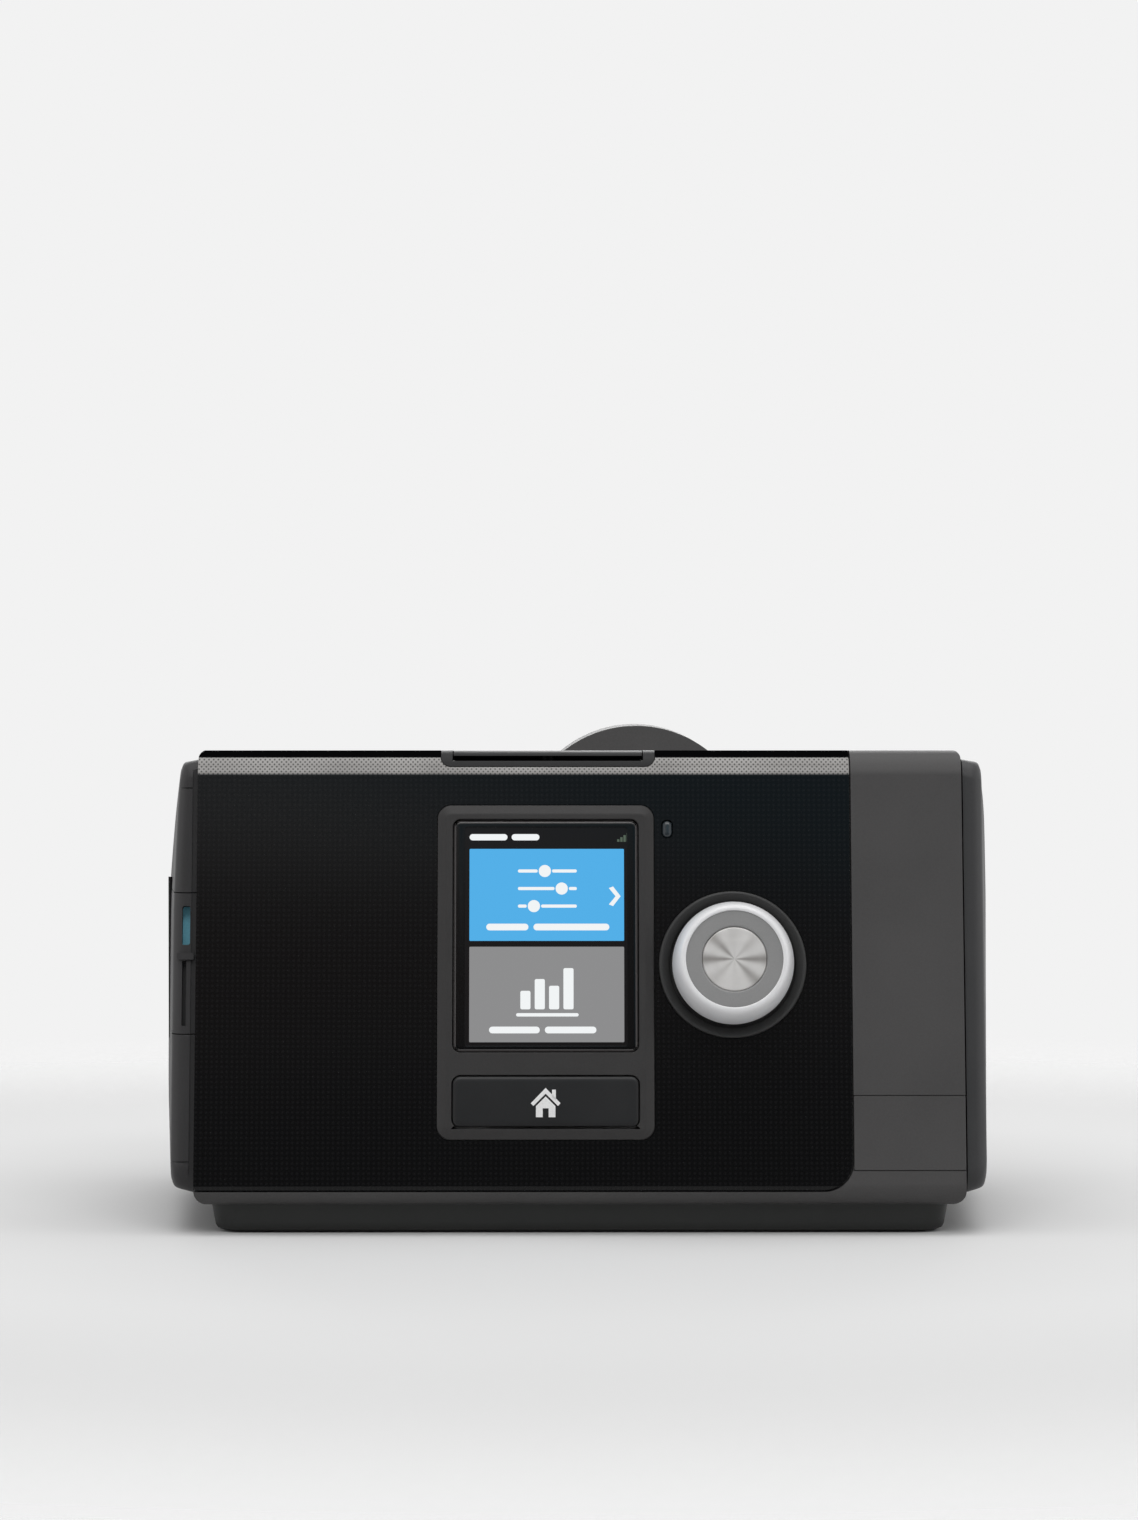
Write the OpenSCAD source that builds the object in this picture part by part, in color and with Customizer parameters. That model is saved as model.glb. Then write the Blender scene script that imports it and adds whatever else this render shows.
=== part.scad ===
// Bedside CPAP machine with a heated humidifier tub, millimetres.
// +X is the viewer's right, +Y goes to the back, +Z is up. The origin is on the
// surface that the machine stands on, under the middle of its outline.

/* [Body] */
// Width of the central housing between the two end caps
body_w = 182; // [176:1:196]
// Depth of the housing from its lower front edge to its back
body_d = 129.5; // [127:0.5:136]
// Height of the housing above the base tray
body_h = 107; // [104:0.5:116]
// Lean of the front face away from the viewer, in degrees
recline = 10; // [7:0.5:12]
// Fall of the top from its front edge to its back edge
top_fall = 3.5; // [1:0.1:4]
// Height of the base tray and feet under the housing
base_h = 7; // [6:0.5:10]
// Wall of the housing and the caps
wall = 2.4; // [2:0.1:2.8]
// Radius of the housing's upper front edge
front_top_r = 7; // [5:0.5:9]
// Radius of the housing's lower front edge
front_bottom_r = 4.5; // [3:0.5:5.5]
// Radius of the housing's upper back edge
back_top_r = 10; // [6:0.5:11]
// Radius of the housing's lower back edge
back_bottom_r = 5; // [3:0.5:6]
// Distance of the lower front edge before the origin
front_reach = 71; // [70:0.5:73]

/* [End caps] */
// Reach of each end cap beyond the housing
cap_reach = 11.5; // [9:0.5:14]
// Step from the housing's skin down to the edge of a cap
cap_step = 2.2; // [1.5:0.1:3]

/* [Base] */
// Width of the base tray
base_w = 175; // [168:1:175]
// Depth of the base tray
base_d = 118; // [110:1:120]
// Radius of a rubber foot
foot_r = 7; // [5:0.5:9]
// Height of a rubber foot that shows below the tray
foot_h = 0.8; // [0.8:0.1:1.5]

/* [Fascia] */
// Width of the gloss fascia
fascia_w = 155.2; // [152:0.2:160]
// Thickness of the fascia
fascia_t = 2; // [1.6:0.1:2.2]
// Distance of the fascia's lower edge up the face
fascia_low = 4.2; // [4:0.1:6]
// Depth that the fascia reaches back over the top, square to the face
fascia_back = 14; // [10:0.5:16]
// Radius of the fascia's lower right corner
fascia_r = 5; // [3:0.5:8]

/* [Display] */
// Distance of the display's middle line to the left of the dial's axis
display_in = 44.3; // [43.5:0.1:46]
// Width of the display bezel
bezel_w = 51.4; // [50:0.1:54]
// Distance of the bezel's lower edge up the face
bezel_low = 15.7; // [14:0.1:17]
// Distance of the bezel's upper edge below the top of the face
bezel_top = 13.3; // [11:0.1:14]
// Height of the bezel above the fascia
bezel_rise = 0.8; // [0.4:0.1:1.4]
// Corner radius of the bezel
bezel_r = 3.3; // [2:0.1:5]
// Width of the display lens
lens_w = 44; // [42:0.1:45]
// Distance of the lens's lower edge above the bezel's lower edge
lens_low = 20.7; // [20:0.1:22]
// Distance of the lens's upper edge below the bezel's upper edge
lens_top = 3.5; // [3:0.1:6]
// Thickness of the lens
lens_t = 1.4; // [1:0.1:1.6]
// Width of the home button
home_w = 44; // [40:0.1:45]
// Distance of the home button's lower edge above the bezel's lower edge
home_low = 2.9; // [2.5:0.1:4]
// Height of the home button along the face
home_h = 12.1; // [9:0.1:13]
// Travel of the home button
home_travel = 0.8; // [0.5:0.1:1]

/* [Dial] */
// Distance of the dial's axis from the fascia's right edge
dial_in = 28; // [25:0.1:29]
// Distance of the dial's axis up the face
dial_up = 57.2; // [50:0.1:64]
// Outer radius of the fixed ring round the dial
ring_r = 17.5; // [16.5:0.1:19]
// Radius of the turning knob
knob_r = 14.35; // [13.5:0.05:14.5]
// Height of the knob's front above the fascia
knob_h = 13; // [10:0.5:15]
// How much narrower the knob's front is than its base, on the radius
knob_taper = 2.4; // [1.6:0.1:2.5]
// Radius of the dial's shaft
shaft_r = 3; // [2.5:0.1:3.5]
// Travel of the dial when it is pressed
dial_travel = 0.8; // [0.5:0.1:1]

/* [Start button] */
// Width of the trim round the start button
trim_w = 51; // [48:0.5:54]
// Width of the start button
start_w = 45; // [40:0.5:46]
// Depth of the trim from front to back
trim_d = 17.5; // [15:0.5:18]
// Radius of the trim's lower corners
trim_r = 2.4; // [1.5:0.1:3]
// Travel of the start button
start_travel = 1; // [0.6:0.1:1.1]

/* [Air outlet] */
// Distance of the outlet's axis to the right of the middle
outlet_x = 15.2; // [13:0.1:17]
// Distance of the outlet's axis below the housing's top
outlet_down = 26; // [24:0.5:28]
// Radius of the round shroud behind the body
shroud_r = 30.3; // [29:0.1:32]
// Reach of the shroud behind the housing
shroud_reach = 17; // [14:0.5:20]
// Wall of the shroud
shroud_wall = 3.6; // [3:0.1:4.5]
// Outer radius of the hose connector
outlet_r = 11; // [10.5:0.1:11.5]
// Bore radius of the hose connector
outlet_bore = 9.3; // [8.5:0.1:9.6]

/* [Humidifier] */
// Length of the tub along X
tub_len = 87.5; // [84:0.5:89]
// Width of the tub from front to back
tub_w = 80; // [76:0.5:81]
// Room between the tub's bay and the housing's roof
tub_head = 9.6; // [8.5:0.1:13]
// Height of the tub's lower half
tub_low_h = 40; // [36:0.5:44]
// Wall of the tub
tub_wall = 2; // [1.6:0.1:2.4]
// Running gap round the tub
tub_gap = 0.6; // [0.4:0.1:0.9]
// Side of the square heater plate
heater_side = 60; // [52:1:64]

/* [Blower] */
// Outer radius of the blower's volute
blower_r = 33.5; // [31:0.5:34]
// Height of the volute
blower_h = 24; // [20:0.5:26]
// Radius of the impeller
impeller_r = 26; // [22:0.5:28]
// Number of impeller blades
blade_count = 9; // [5:1:11]
// Radius of the motor
motor_r = 16; // [13:0.5:18]
// Height of the motor
motor_h = 20; // [16:0.5:21]

/* [Filter] */
// Width of the filter cover
filter_w = 48; // [42:0.5:50]
// Height of the filter cover
filter_h = 60; // [54:0.5:62]
// Height of the filter cover's lower edge
filter_low = 36; // [34:0.5:38]
// Number of louvres in the filter cover
louvre_count = 7; // [4:1:9]

/* [Left side] */
// Height of the memory card door's lower edge
door_low = 47; // [44:0.5:50]
// Height of the memory card door
door_h = 33; // [33:0.5:36]
// Width of the service cover from front to back
service_w = 38; // [32:0.5:42]
// Height of the service cover
service_h = 32; // [28:0.5:36]

/* [Power] */
// Distance of the power inlet to the left of the middle
inlet_x = 20; // [18:0.5:22]
// Height of the power inlet's axis
inlet_z = 26; // [24:0.5:28]
// Bore radius of the power inlet
inlet_r = 4; // [3.5:0.1:4.5]
// Depth of the power inlet's bore
inlet_deep = 10; // [9:0.5:12]

/* [Fits] */
// Gap between pieces that lie beside each other
fit = 0.15; // [0.1:0.05:0.2]
// Gap round a piece that moves
play = 0.25; // [0.2:0.05:0.3]
// Gap round a shaft or a hinge pin
bearing = 0.06; // [0.04:0.01:0.08]

/* [Hidden] */
$fn = 64;

// Planes of the housing
x_left = -body_w / 2;
x_right = body_w / 2;
y_front = -front_reach;
y_back = y_front + body_d;
z_low = base_h;
z_top = base_h + body_h;
skin = fascia_t + wall;             // housing behind the fascia, and its roof
floor_z = z_low + wall;
roof_z = z_top - skin;
back_in = y_back - wall;
side_low_r = 5;                     // lower corners of the housing seen from the front
side_top_r = 2.2;
low_inner_r = 1.5;

// Places on the face, x from the middle
face_len = body_h / cos(recline);
fascia_right = x_left + fascia_w;
dial_mid = fascia_right - dial_in;
display_mid = dial_mid - display_in;
bezel_h = face_len - bezel_low - bezel_top;
lens_h = bezel_h - lens_low - lens_top;
window_x = dial_mid - 15.4;
window_s = face_len - 19;
pcb_front = -skin - 5;              // depth of the board's front behind the face
pcb_t = 1.6;
pcb_back = pcb_front - pcb_t;
post_r = 2.6;
screw_r = 1.25;
pcb_x0 = x_left + 7;
pcb_x1 = fascia_right - 4.2;
pcb_s0 = 8;
pcb_s1 = face_len - 17.5;
pcb_posts = [for (x = [pcb_x0 + 6, pcb_x1 - 6], s = [pcb_s0 + 6, pcb_s1 - 5]) [x, s],
    [pcb_x0 + 33, (pcb_s0 + pcb_s1) / 2]];
lcd_edge = 2.2;
lcd_t = 3.1;
switch_h = 1.9;
stem_r = 2;

// Start button, all on the upper front edge
trim_mid = display_mid + 0.5;
trim_back = -35.5;
stem_y = trim_back - 7;
trim_low = z_top - 2.6;             // floor of the pocket that the button sinks into
start_low = trim_low + start_travel + 0.2;
trim_floor_t = 1.3;
start_board_z = z_top - 10.4;
start_stem_end = start_board_z + 4.1;

// Humidifier bay on the right and what sits in it
bay_z = z_low + 9;                  // top of the bay's floor
bay_wall = 2;
spring_z = floor_z + 1;             // skin under the bay's floor that the heater's springs stand on
tub_x1 = x_right - 2.5;
tub_x0 = tub_x1 - tub_len;
bay_x0 = tub_x0 - tub_gap;
tub_mid = 1;                        // middle of the tub from front to back
tub_y0 = tub_mid - tub_w / 2;
tub_y1 = tub_mid + tub_w / 2;
bay_y0 = tub_y0 - tub_gap;
bay_y1 = tub_y1 + tub_gap;
tub_z0 = bay_z + tub_gap;
tub_z1 = roof_z - tub_head - bay_wall - tub_gap;
bay_top = tub_z1 + tub_gap;
split_z = tub_z0 + tub_low_h;
seal_t = 1.2;
plate_t = 1.6;
port_r = 8;
port_in = [tub_mid - 28, tub_z1 - 26.8];   // [y, z] of the port that air comes in by
port_out = [tub_mid + 23, tub_z1 - 18.8];  // [y, z] of the port that air leaves by

// Blower on the left
blower_x = x_left + 42;
blower_y = 0;
blower_z = z_low + 27;              // underside of the volute
duct_wall = 1.6;
duct_x0 = bay_x0 - bay_wall - 14;
duct_x1 = bay_x0 - bay_wall;
impeller_shaft_r = 1.5;
mount_ring = 26;
mount_len = blower_z - floor_z;

// Air outlet at the back
outlet_z = z_top - outlet_down;
outlet_back = y_back + shroud_reach;
outlet_floor = y_back + 2;
connector_back = outlet_back - 2;
flange_t = 1.2;

// Filter at the back
filter_x0 = x_left + 6;
filter_z1 = filter_low + filter_h;
filter_t = 6;
cover_t = 2.2;
hinge_r = 1.6;
pin_r = 0.8;
filter_axis = [filter_x0 + 1.6, y_back - 0.6];

// Left cap: memory card door and service cover
cap_low = z_low + 0.6;
cap_top = z_top - cap_step;
cap_mid_y = 12;
cap_mid_z = z_low + 0.38 * body_h;
cap_shoulder = 6;                   // depth of a cap's front before it turns to the side
cap_edge_r = 3.5;                   // radius of that turn
cap_roof_r = 2.6;                   // radius of a cap's top and bottom edges
cap_corner_r = 5;                   // corner radius of a cap where it meets the housing
cap_corner_grow = 30;               // and how much it grows towards the cap's crown
left_fall = [3, 0.5];               // how much less the left cap reaches at its top and bottom
right_fall = [0.8, 0.2];            // and the right cap
door_top = door_low + door_h;
door_axis = [x_left - 7.9, -35.6];
door_barrel = 1.3;
door_pin_r = 0.6;
door_lip_s = 58.6;
card_window = [62.7, 71.6];         // heights above the base of the window that shows the card
pull_slit = [42.3, 57.5];           // and of the slit below it
slit_back = y_front + 21;           // how far back both cut into the cap
card = [32, 24, 2.1];               // memory card: length, width, thickness
card_out = 3.9;                     // how far the card shows beyond the housing
card_s = 49.6;                      // lower edge of the card up the face
card_w = -skin - 3.8;               // back of the card behind the face
service_y = -6;
service_z = z_low + 22;
seat_x = x_left - 3.4;              // inner side of the ledge that the service cover snaps onto

// Power inlet and its clip
clip_z = inlet_z + 12;
clip_y = y_back + 2.2;
clip_w = 14;
clip_h = 15;
clip_t = 1.8;
clip_pin_r = 0.9;
clip_barrel = 1.7;

function unit(v) = v / norm(v);

// Points of one rounded corner q between its neighbours p and s
function corner_arc(p, q, s, r, n) =
    let (u = unit(p - q),
         v = unit(s - q),
         half = acos(u * v) / 2,
         c = q + unit(u + v) * r / sin(half),
         a = q + u * r / tan(half) - c,
         b = q + v * r / tan(half) - c,
         a0 = atan2(a[1], a[0]),
         turn = atan2(b[1], b[0]) - a0,
         d = turn > 180 ? turn - 360 : turn < -180 ? turn + 360 : turn)
    [for (i = [0:n]) c + r * [cos(a0 + d * i / n), sin(a0 + d * i / n)]];

// Convex outline with a radius at each corner
function rounded(pts, radii, n = 8) =
    let (k = len(pts))
    [for (i = [0:k - 1])
        each corner_arc(pts[(i + k - 1) % k], pts[i], pts[(i + 1) % k], radii[i], n)];

function rect(x0, y0, x1, y1, r, n = 6) =
    rounded([[x0, y0], [x1, y0], [x1, y1], [x0, y1]], [r, r, r, r], n);

// Front face at a height, moved inwards by an inset
function face_y(z, inset = 0) = y_front + (z - z_low) * tan(recline) + inset / cos(recline);

top_slope = top_fall / (y_back - face_y(z_top));

// Side outline [y, z] of the housing, moved inwards by an inset
function side_outline(i) =
    rounded([[face_y(z_low + i, i), z_low + i], [y_back - i, z_low + i],
             [y_back - i, z_top - i - top_fall], [face_y(z_top - i, i), z_top - i]],
            [max(front_bottom_r - i, low_inner_r), max(back_bottom_r - i, low_inner_r),
             max(back_top_r - i, low_inner_r), max(front_top_r - i, low_inner_r)]);

// Side outline of the room inside the housing, moved inwards by an inset
function room_outline(i = 0) =
    rounded([[face_y(floor_z + i, skin + i), floor_z + i], [back_in - i, floor_z + i],
             [back_in - i, roof_z - i - top_fall], [face_y(roof_z - i, skin + i), roof_z - i]],
            [low_inner_r, back_bottom_r - wall, back_top_r - skin, front_top_r - skin]);

// Drop of a rounded edge of radius r at a distance d beyond its start
function edge_drop(d, r) = r - sqrt(max(0, pow(r, 2) - pow(max(0, min(r, d)), 2)));

// Height that a cap has at a reach d, from its middle towards an edge that falls short by fall
function cap_edge_z(d, reach, fall, edge, mid) =
    let (inward = edge > mid ? -1 : 1, turn = reach - fall)
    d <= turn ? edge + inward * edge_drop(d - turn + cap_roof_r, cap_roof_r)
              : mid + (edge + inward * cap_roof_r - mid) * sqrt(max(0.001, (reach - d) / fall));

// Side outline [y, z] of a cap at a reach d
function cap_outline(d, reach, inset, low, top, fall) =
    let (z0 = cap_edge_z(d, reach, fall[1], low, cap_mid_z),
         z1 = cap_edge_z(d, reach, fall[0], top, cap_mid_z),
         i = inset + edge_drop(d - cap_shoulder + cap_edge_r, cap_edge_r),
         q = d <= cap_shoulder ? 1 : sqrt(max(0.008, 1 - (d - cap_shoulder) / (reach - cap_shoulder))),
         front_low = cap_mid_y + q * (face_y(z0, i) - cap_mid_y),
         front_high = cap_mid_y + q * (face_y(z1, i) - cap_mid_y),
         back = cap_mid_y + q * (y_back - i - cap_mid_y),
         back_z1 = z1 - top_slope * (back - front_high),
         r = min(cap_corner_r + cap_corner_grow * (1 - q), (back_z1 - z0) / 2.3,
                 (back - front_low) / 2.3))
    rounded([[front_low, z0], [back, z0], [back, back_z1], [front_high, z1]], [r, r, r, r], 6);

module along_x(x0, x1)
    translate([x0, 0, 0]) rotate([90, 0, 90]) linear_extrude(x1 - x0) children();

module along_y(y0, y1)
    translate([0, y1, 0]) rotate([90, 0, 0]) linear_extrude(y1 - y0) children();

module box(x0, x1, y0, y1, z0, z1)
    translate([x0, y0, z0]) cube([x1 - x0, y1 - y0, z1 - z0]);

// Children drawn on the front face: x, distance up the face, height above it
module on_face()
    translate([0, y_front, z_low]) rotate([90 - recline, 0, 0]) children();

// Plate on the face between two depths
module face_plate(pts, w0, w1)
    on_face() translate([0, 0, w0]) linear_extrude(w1 - w0) polygon(pts);

module face_disc(x, s, r, w0, w1)
    on_face() translate([x, s, w0]) cylinder(r = r, h = w1 - w0);

module y_disc(x, z, r, y0, y1)
    translate([x, y1, z]) rotate([90, 0, 0]) cylinder(r = r, h = y1 - y0);

module x_disc(y, z, r, x0, x1)
    translate([x0, y, z]) rotate([0, 90, 0]) cylinder(r = r, h = x1 - x0);

module z_disc(x, y, r, z0, z1)
    translate([x, y, z0]) cylinder(r = r, h = z1 - z0);

// Part of the face and the top that the fascia covers, grown by a gap
module fascia_zone(gap) {
    high = body_h * 1.3;
    face_plate(rounded([[x_left - 2 * gap, fascia_low - gap], [fascia_right + gap, fascia_low - gap],
                        [fascia_right + gap, high], [x_left - 2 * gap, high]],
                       [2.5, fascia_r, 0.1, 0.1]), -fascia_t - 1, 3);
    face_plate(rect(x_left - 2 * gap, body_h * 0.88, fascia_right + gap, high, 0.1), -fascia_back - gap, 3);
}

function bezel_pts(gap) =
    rect(display_mid - bezel_w / 2 - gap, bezel_low - gap, display_mid + bezel_w / 2 + gap,
         bezel_low + bezel_h + gap, bezel_r + gap);

function lens_pts(gap, r = 1.8) =
    rect(display_mid - lens_w / 2 - gap, bezel_low + lens_low - gap, display_mid + lens_w / 2 + gap,
         bezel_low + lens_low + lens_h + gap, r);

function home_pts(gap, r = 2) =
    rect(display_mid - home_w / 2 - gap, bezel_low + home_low - gap, display_mid + home_w / 2 + gap,
         bezel_low + home_low + home_h + gap, r);

function window_pts(gap) = rect(window_x - 1.25 - gap, window_s - 2.1 - gap,
                                window_x + 1.25 + gap, window_s + 2.1 + gap, 1.2 + gap);

function badge_pts(gap) = rect(fascia_right + 0.9 - gap, 9 - gap, x_right - 0.6 + gap, 26.1 + gap, 0.4);

home_mid_s = bezel_low + home_low + home_h / 2;
badge_t = 0.8;

// Block that the start button's trim fills, grown by a gap
module trim_zone(gap)
    along_y(trim_back - trim_d - 12, trim_back + gap)
        polygon(rect(trim_mid - trim_w / 2 - gap, trim_low - trim_floor_t - gap,
                     trim_mid + trim_w / 2 + gap, z_top + 9, trim_r + gap));

module housing_solid()
    intersection() {
        along_x(x_left, x_right) polygon(side_outline(0));
        along_y(y_front - 5, y_back + 5)
            polygon(rounded([[x_left, z_low], [x_right, z_low], [x_right, z_top], [x_left, z_top]],
                            [side_low_r, side_low_r, side_top_r, side_top_r]));
    }

base_y0 = y_front + 5.5;
base_y1 = base_y0 + base_d;
screw_places = [[x_left + 14, y_front + 19], [x_right - 14, y_front + 19],
    [x_left + 14, y_back - 9.5], [x_right - 14, y_back - 9.5]];
boss_r = 3.5;
boss_top = floor_z + 5;

module main_housing() color("#4a4a4b") {
    difference() {
        union() {
            difference() {
                housing_solid();
                along_x(x_left - 1, x_right + 1) polygon(room_outline());
            }
            for (p = pcb_posts) face_disc(p[0], p[1], post_r, pcb_front, -skin + 0.2);
            for (p = screw_places) z_disc(p[0], p[1], boss_r, floor_z - 0.2, boss_top);
            for (x = [-8, 8])
                z_disc(trim_mid + x, trim_back + 4, stem_r, start_board_z + pcb_t, roof_z + 0.2);
            for (x = [-1, 1]) clip_ear(x);
        }
        difference() {
            fascia_zone(fit);
            along_x(x_left - 1, x_right + 1) polygon(side_outline(fascia_t));
        }
        trim_zone(fit);
        z_disc(trim_mid, stem_y, stem_r + play, roof_z - 1, z_top);
        face_plate(lcd_pts(play), -skin - 1, 0);
        face_disc(display_mid, home_mid_s, stem_r + play, -skin - 1, 0);
        face_disc(dial_mid, dial_up, shaft_r + bearing, -skin - 1, 0);
        face_plate(badge_pts(fit), -badge_t, 2);
        for (p = pcb_posts) face_disc(p[0], p[1], screw_r + 0.05, pcb_front - 1, -skin);
        for (p = screw_places) z_disc(p[0], p[1], screw_r + 0.05, z_low - 1, boss_top - 1);
        box(filter_x0 - play, filter_x0 + filter_w + play, back_in - 1, y_back + 1,
            filter_low - play, filter_z1 + play);
        y_disc(outlet_x, outlet_z, outlet_r + bearing, back_in - 1, y_back + 1);
        y_disc(outlet_x, outlet_z, outlet_r + 2.2, back_in - 1, y_back - 1.2);
        box(-inlet_x - 7 - fit, -inlet_x + 7 + fit, back_in - 1, y_back + 1,
            inlet_z - 8 - fit, inlet_z + 8 + fit);
        x_disc(clip_y, clip_z, clip_pin_r, -inlet_x - clip_w, -inlet_x + clip_w);
    }
}

module clip_ear(side)
    translate([-inlet_x + side * (clip_w / 2 + play + 1), 0, 0]) {
        box(-1, 1, y_back - 0.5, clip_y, clip_z - 2, clip_z + 2);
        x_disc(clip_y, clip_z, 2, -1, 1);
    }

module front_fascia() color("#141618")
    difference() {
        intersection() {
            difference() {
                housing_solid();
                along_x(x_left - 1, x_right + 1) polygon(side_outline(fascia_t));
            }
            fascia_zone(0);
        }
        trim_zone(fit);
        face_plate(bezel_pts(fit), -skin, 2);
        face_disc(dial_mid, dial_up, ring_r + fit, -skin, 2);
        face_plate(window_pts(fit), -skin, 2);
    }

module badge_panel() color("#474748") face_plate(badge_pts(0), -badge_t, 0.1);

// Solid through rings of points that follow each other along X
module loft(rings) {
    n = len(rings[0]);
    last = len(rings) - 1;
    polyhedron([for (ring = rings) each ring],
               concat([[for (i = [0:n - 1]) i], [for (i = [n - 1:-1:0]) last * n + i]],
                      [for (j = [0:last - 1], i = [0:n - 1], far = [0, 1])
                          far == 1 ? [j * n + i, (j + 1) * n + i, (j + 1) * n + (i + 1) % n]
                                   : [j * n + i, (j + 1) * n + (i + 1) % n, j * n + (i + 1) % n]]));
}

// Rounded end: rings of the cap's side outline that shrink towards its crown
module pillow(reach, inset, low, top, fall) {
    levels = concat([0, cap_shoulder - cap_edge_r],
                    [for (t = [22.5:22.5:90]) cap_shoulder - cap_edge_r * (1 - sin(t))],
                    [for (t = [11.25:11.25:90]) cap_shoulder + (reach - cap_shoulder) * sin(t)]);
    loft([for (d = levels) [for (p = cap_outline(d, reach, inset, low, top, fall)) [d, p[0], p[1]]]]);
}

module cap_solid(inset, fall)
    pillow(cap_reach - inset, cap_step + inset, cap_low + inset, cap_top - inset, fall);

module cap_shell(fall, gap = 0)
    translate([x_right + gap, 0, 0]) difference() {
        pillow(cap_reach - gap, cap_step, cap_low, cap_top, fall);
        translate([-0.1, 0, 0])
            pillow(cap_reach - wall - gap, cap_step + wall, cap_low + wall, cap_top - wall, fall);
    }

module left_shell() mirror([1, 0, 0]) cap_shell(left_fall);

// What lies under the left cap's skin, at a depth below it
module left_room(inset) mirror([1, 0, 0]) translate([x_right, 0, 0]) cap_solid(inset, left_fall);

// Space of the memory card door, grown by a gap
module door_zone(gap) {
    box(x_left - cap_reach - 1, x_left - fit + gap, y_front, door_axis[1] + gap,
        door_low - gap, door_top + gap);
    z_disc(door_axis[0], door_axis[1], door_barrel + gap, door_low - gap, door_top + gap);
}

module service_zone(gap)
    box(x_left - cap_reach - 1, x_left - 5, service_y - gap, service_y + service_w + gap,
        service_z - gap, service_z + service_h + gap);

module left_end_cap() color("#404142")
    difference() {
        union() {
            left_shell();
            for (z = [door_low - 4, door_top + play])
                z_disc(door_axis[0] + 0.6, door_axis[1], door_barrel + 0.5, z, z + 4 - play);
            service_seat();
        }
        door_zone(play);
        service_zone(fit);
        z_disc(door_axis[0], door_axis[1], door_pin_r, door_low - 3, door_top + 3);
    }

// Ledge behind the service cover that it snaps onto
module service_seat()
    intersection() {
        difference() {
            box(x_left - cap_reach, seat_x, service_y - 3, service_y + service_w + 3,
                service_z - 3, service_z + service_h + 3);
            box(x_left - cap_reach - 1, seat_x + 1, service_y + 2, service_y + service_w - 2,
                service_z + 2, service_z + service_h - 2);
        }
        left_room(0.5);
    }

module sd_card_door() color("#3b3c3d")
    difference() {
        union() {
            intersection() {
                left_shell();
                box(x_left - cap_reach - 1, x_left - fit, y_front, door_axis[1], door_low, door_top);
            }
            z_disc(door_axis[0], door_axis[1], door_barrel, door_low, door_top);
            // lip to pull the door by
            on_face() translate([x_left - 4.6, door_lip_s, -cap_step - 0.6]) cube([4, 1.6, 1.4]);
        }
        z_disc(door_axis[0], door_axis[1], door_pin_r + bearing, door_low - 1, door_top + 1);
        // window that shows the end of the card
        box(x_left - card_out - 1.2, x_left + 1, y_front, slit_back,
            z_low + card_window[0], z_low + card_window[1]);
        // slit to pull the door by
        box(x_left - 3.4, x_left - 2.4, y_front, slit_back,
            z_low + pull_slit[0], z_low + pull_slit[1]);
        // room for the card
        on_face() translate([x_left - card_out - 0.4, card_s - 0.4, card_w - 0.4])
            cube([card[0], card[1] + 0.8, card[2] + 0.8]);
    }

module sd_door_pin() color("#9a9c9e")
    z_disc(door_axis[0], door_axis[1], door_pin_r, door_low - 3, door_top + 3);

module sd_card() color("#4aa3c8")
    on_face() translate([x_left - card_out, card_s, card_w]) cube([card[0], card[1], card[2]]);

module sd_socket() color("#b9babc")
    difference() {
        face_plate(rect(pcb_x0, card_s - 3, x_left + 32, card_s + card[1] + 3, 0.5), pcb_front, -skin - 0.8);
        on_face() translate([x_left - card_out - 1, card_s - 0.1, card_w - 0.1])
            cube([card[0] + 1.1, card[1] + 0.2, card[2] + 0.2]);
    }

module service_cover() color("#3b3c3d")
    intersection() {
        union() {
            left_shell();
            // rim that stands behind the skin
            intersection() {
                left_room(wall / 2);
                difference() {
                    box(x_left - cap_reach, x_left - 5, service_y, service_y + service_w,
                        service_z, service_z + service_h);
                    box(x_left - cap_reach - 1, x_left - 4, service_y + 1.4, service_y + service_w - 1.4,
                        service_z + 1.4, service_z + service_h - 1.4);
                }
            }
        }
        service_zone(0);
    }

module service_socket() color("#26282a")
    difference() {
        union() {
            box(seat_x + 1, x_left + 7, service_y + 5, service_y + service_w - 5,
                service_z + 8, service_z + 20);
            // flange that rests on the back of the ledge
            box(seat_x, seat_x + 1.4, service_y, service_y + service_w, service_z + 6, service_z + 22);
        }
        box(seat_x - 1, x_left + 5, service_y + 7, service_y + service_w - 7,
            service_z + 10, service_z + 18);
    }

module base_tray() color("#2e2f2f")
    difference() {
        intersection() {
            along_y(base_y0, base_y1)
                polygon(rounded([[-base_w / 2, foot_h], [base_w / 2, foot_h],
                                 [base_w / 2, z_low], [-base_w / 2, z_low]], [4, 4, 0.4, 0.4]));
            translate([0, 0, -1]) linear_extrude(base_h + 2)
                polygon(rect(-base_w / 2, base_y0, base_w / 2, base_y1, 6));
        }
        difference() {
            box(-base_w / 2 + wall, base_w / 2 - wall, base_y0 + wall, base_y1 - wall,
                foot_h + wall, z_low + 1);
            for (p = screw_places) z_disc(p[0], p[1], boss_r, 0, z_low + 2);
        }
        for (p = screw_places) {
            z_disc(p[0], p[1], screw_r + 0.15, 0, z_low + 2);
            z_disc(p[0], p[1], 2.9, 0, foot_h + 2);
        }
        for (p = foot_places()) z_disc(p[0], p[1], foot_r + fit, 0, foot_h + 0.6);
        // plain shallow field for the rating label, left bare
        box(-32, 32, -22, 14, 0, foot_h + 0.4);
    }

function foot_places() =
    [for (x = [-1, 1], y = [base_y0 + 30.5, base_y1 - 35.5]) [x * (base_w / 2 - 11), y]];

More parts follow.
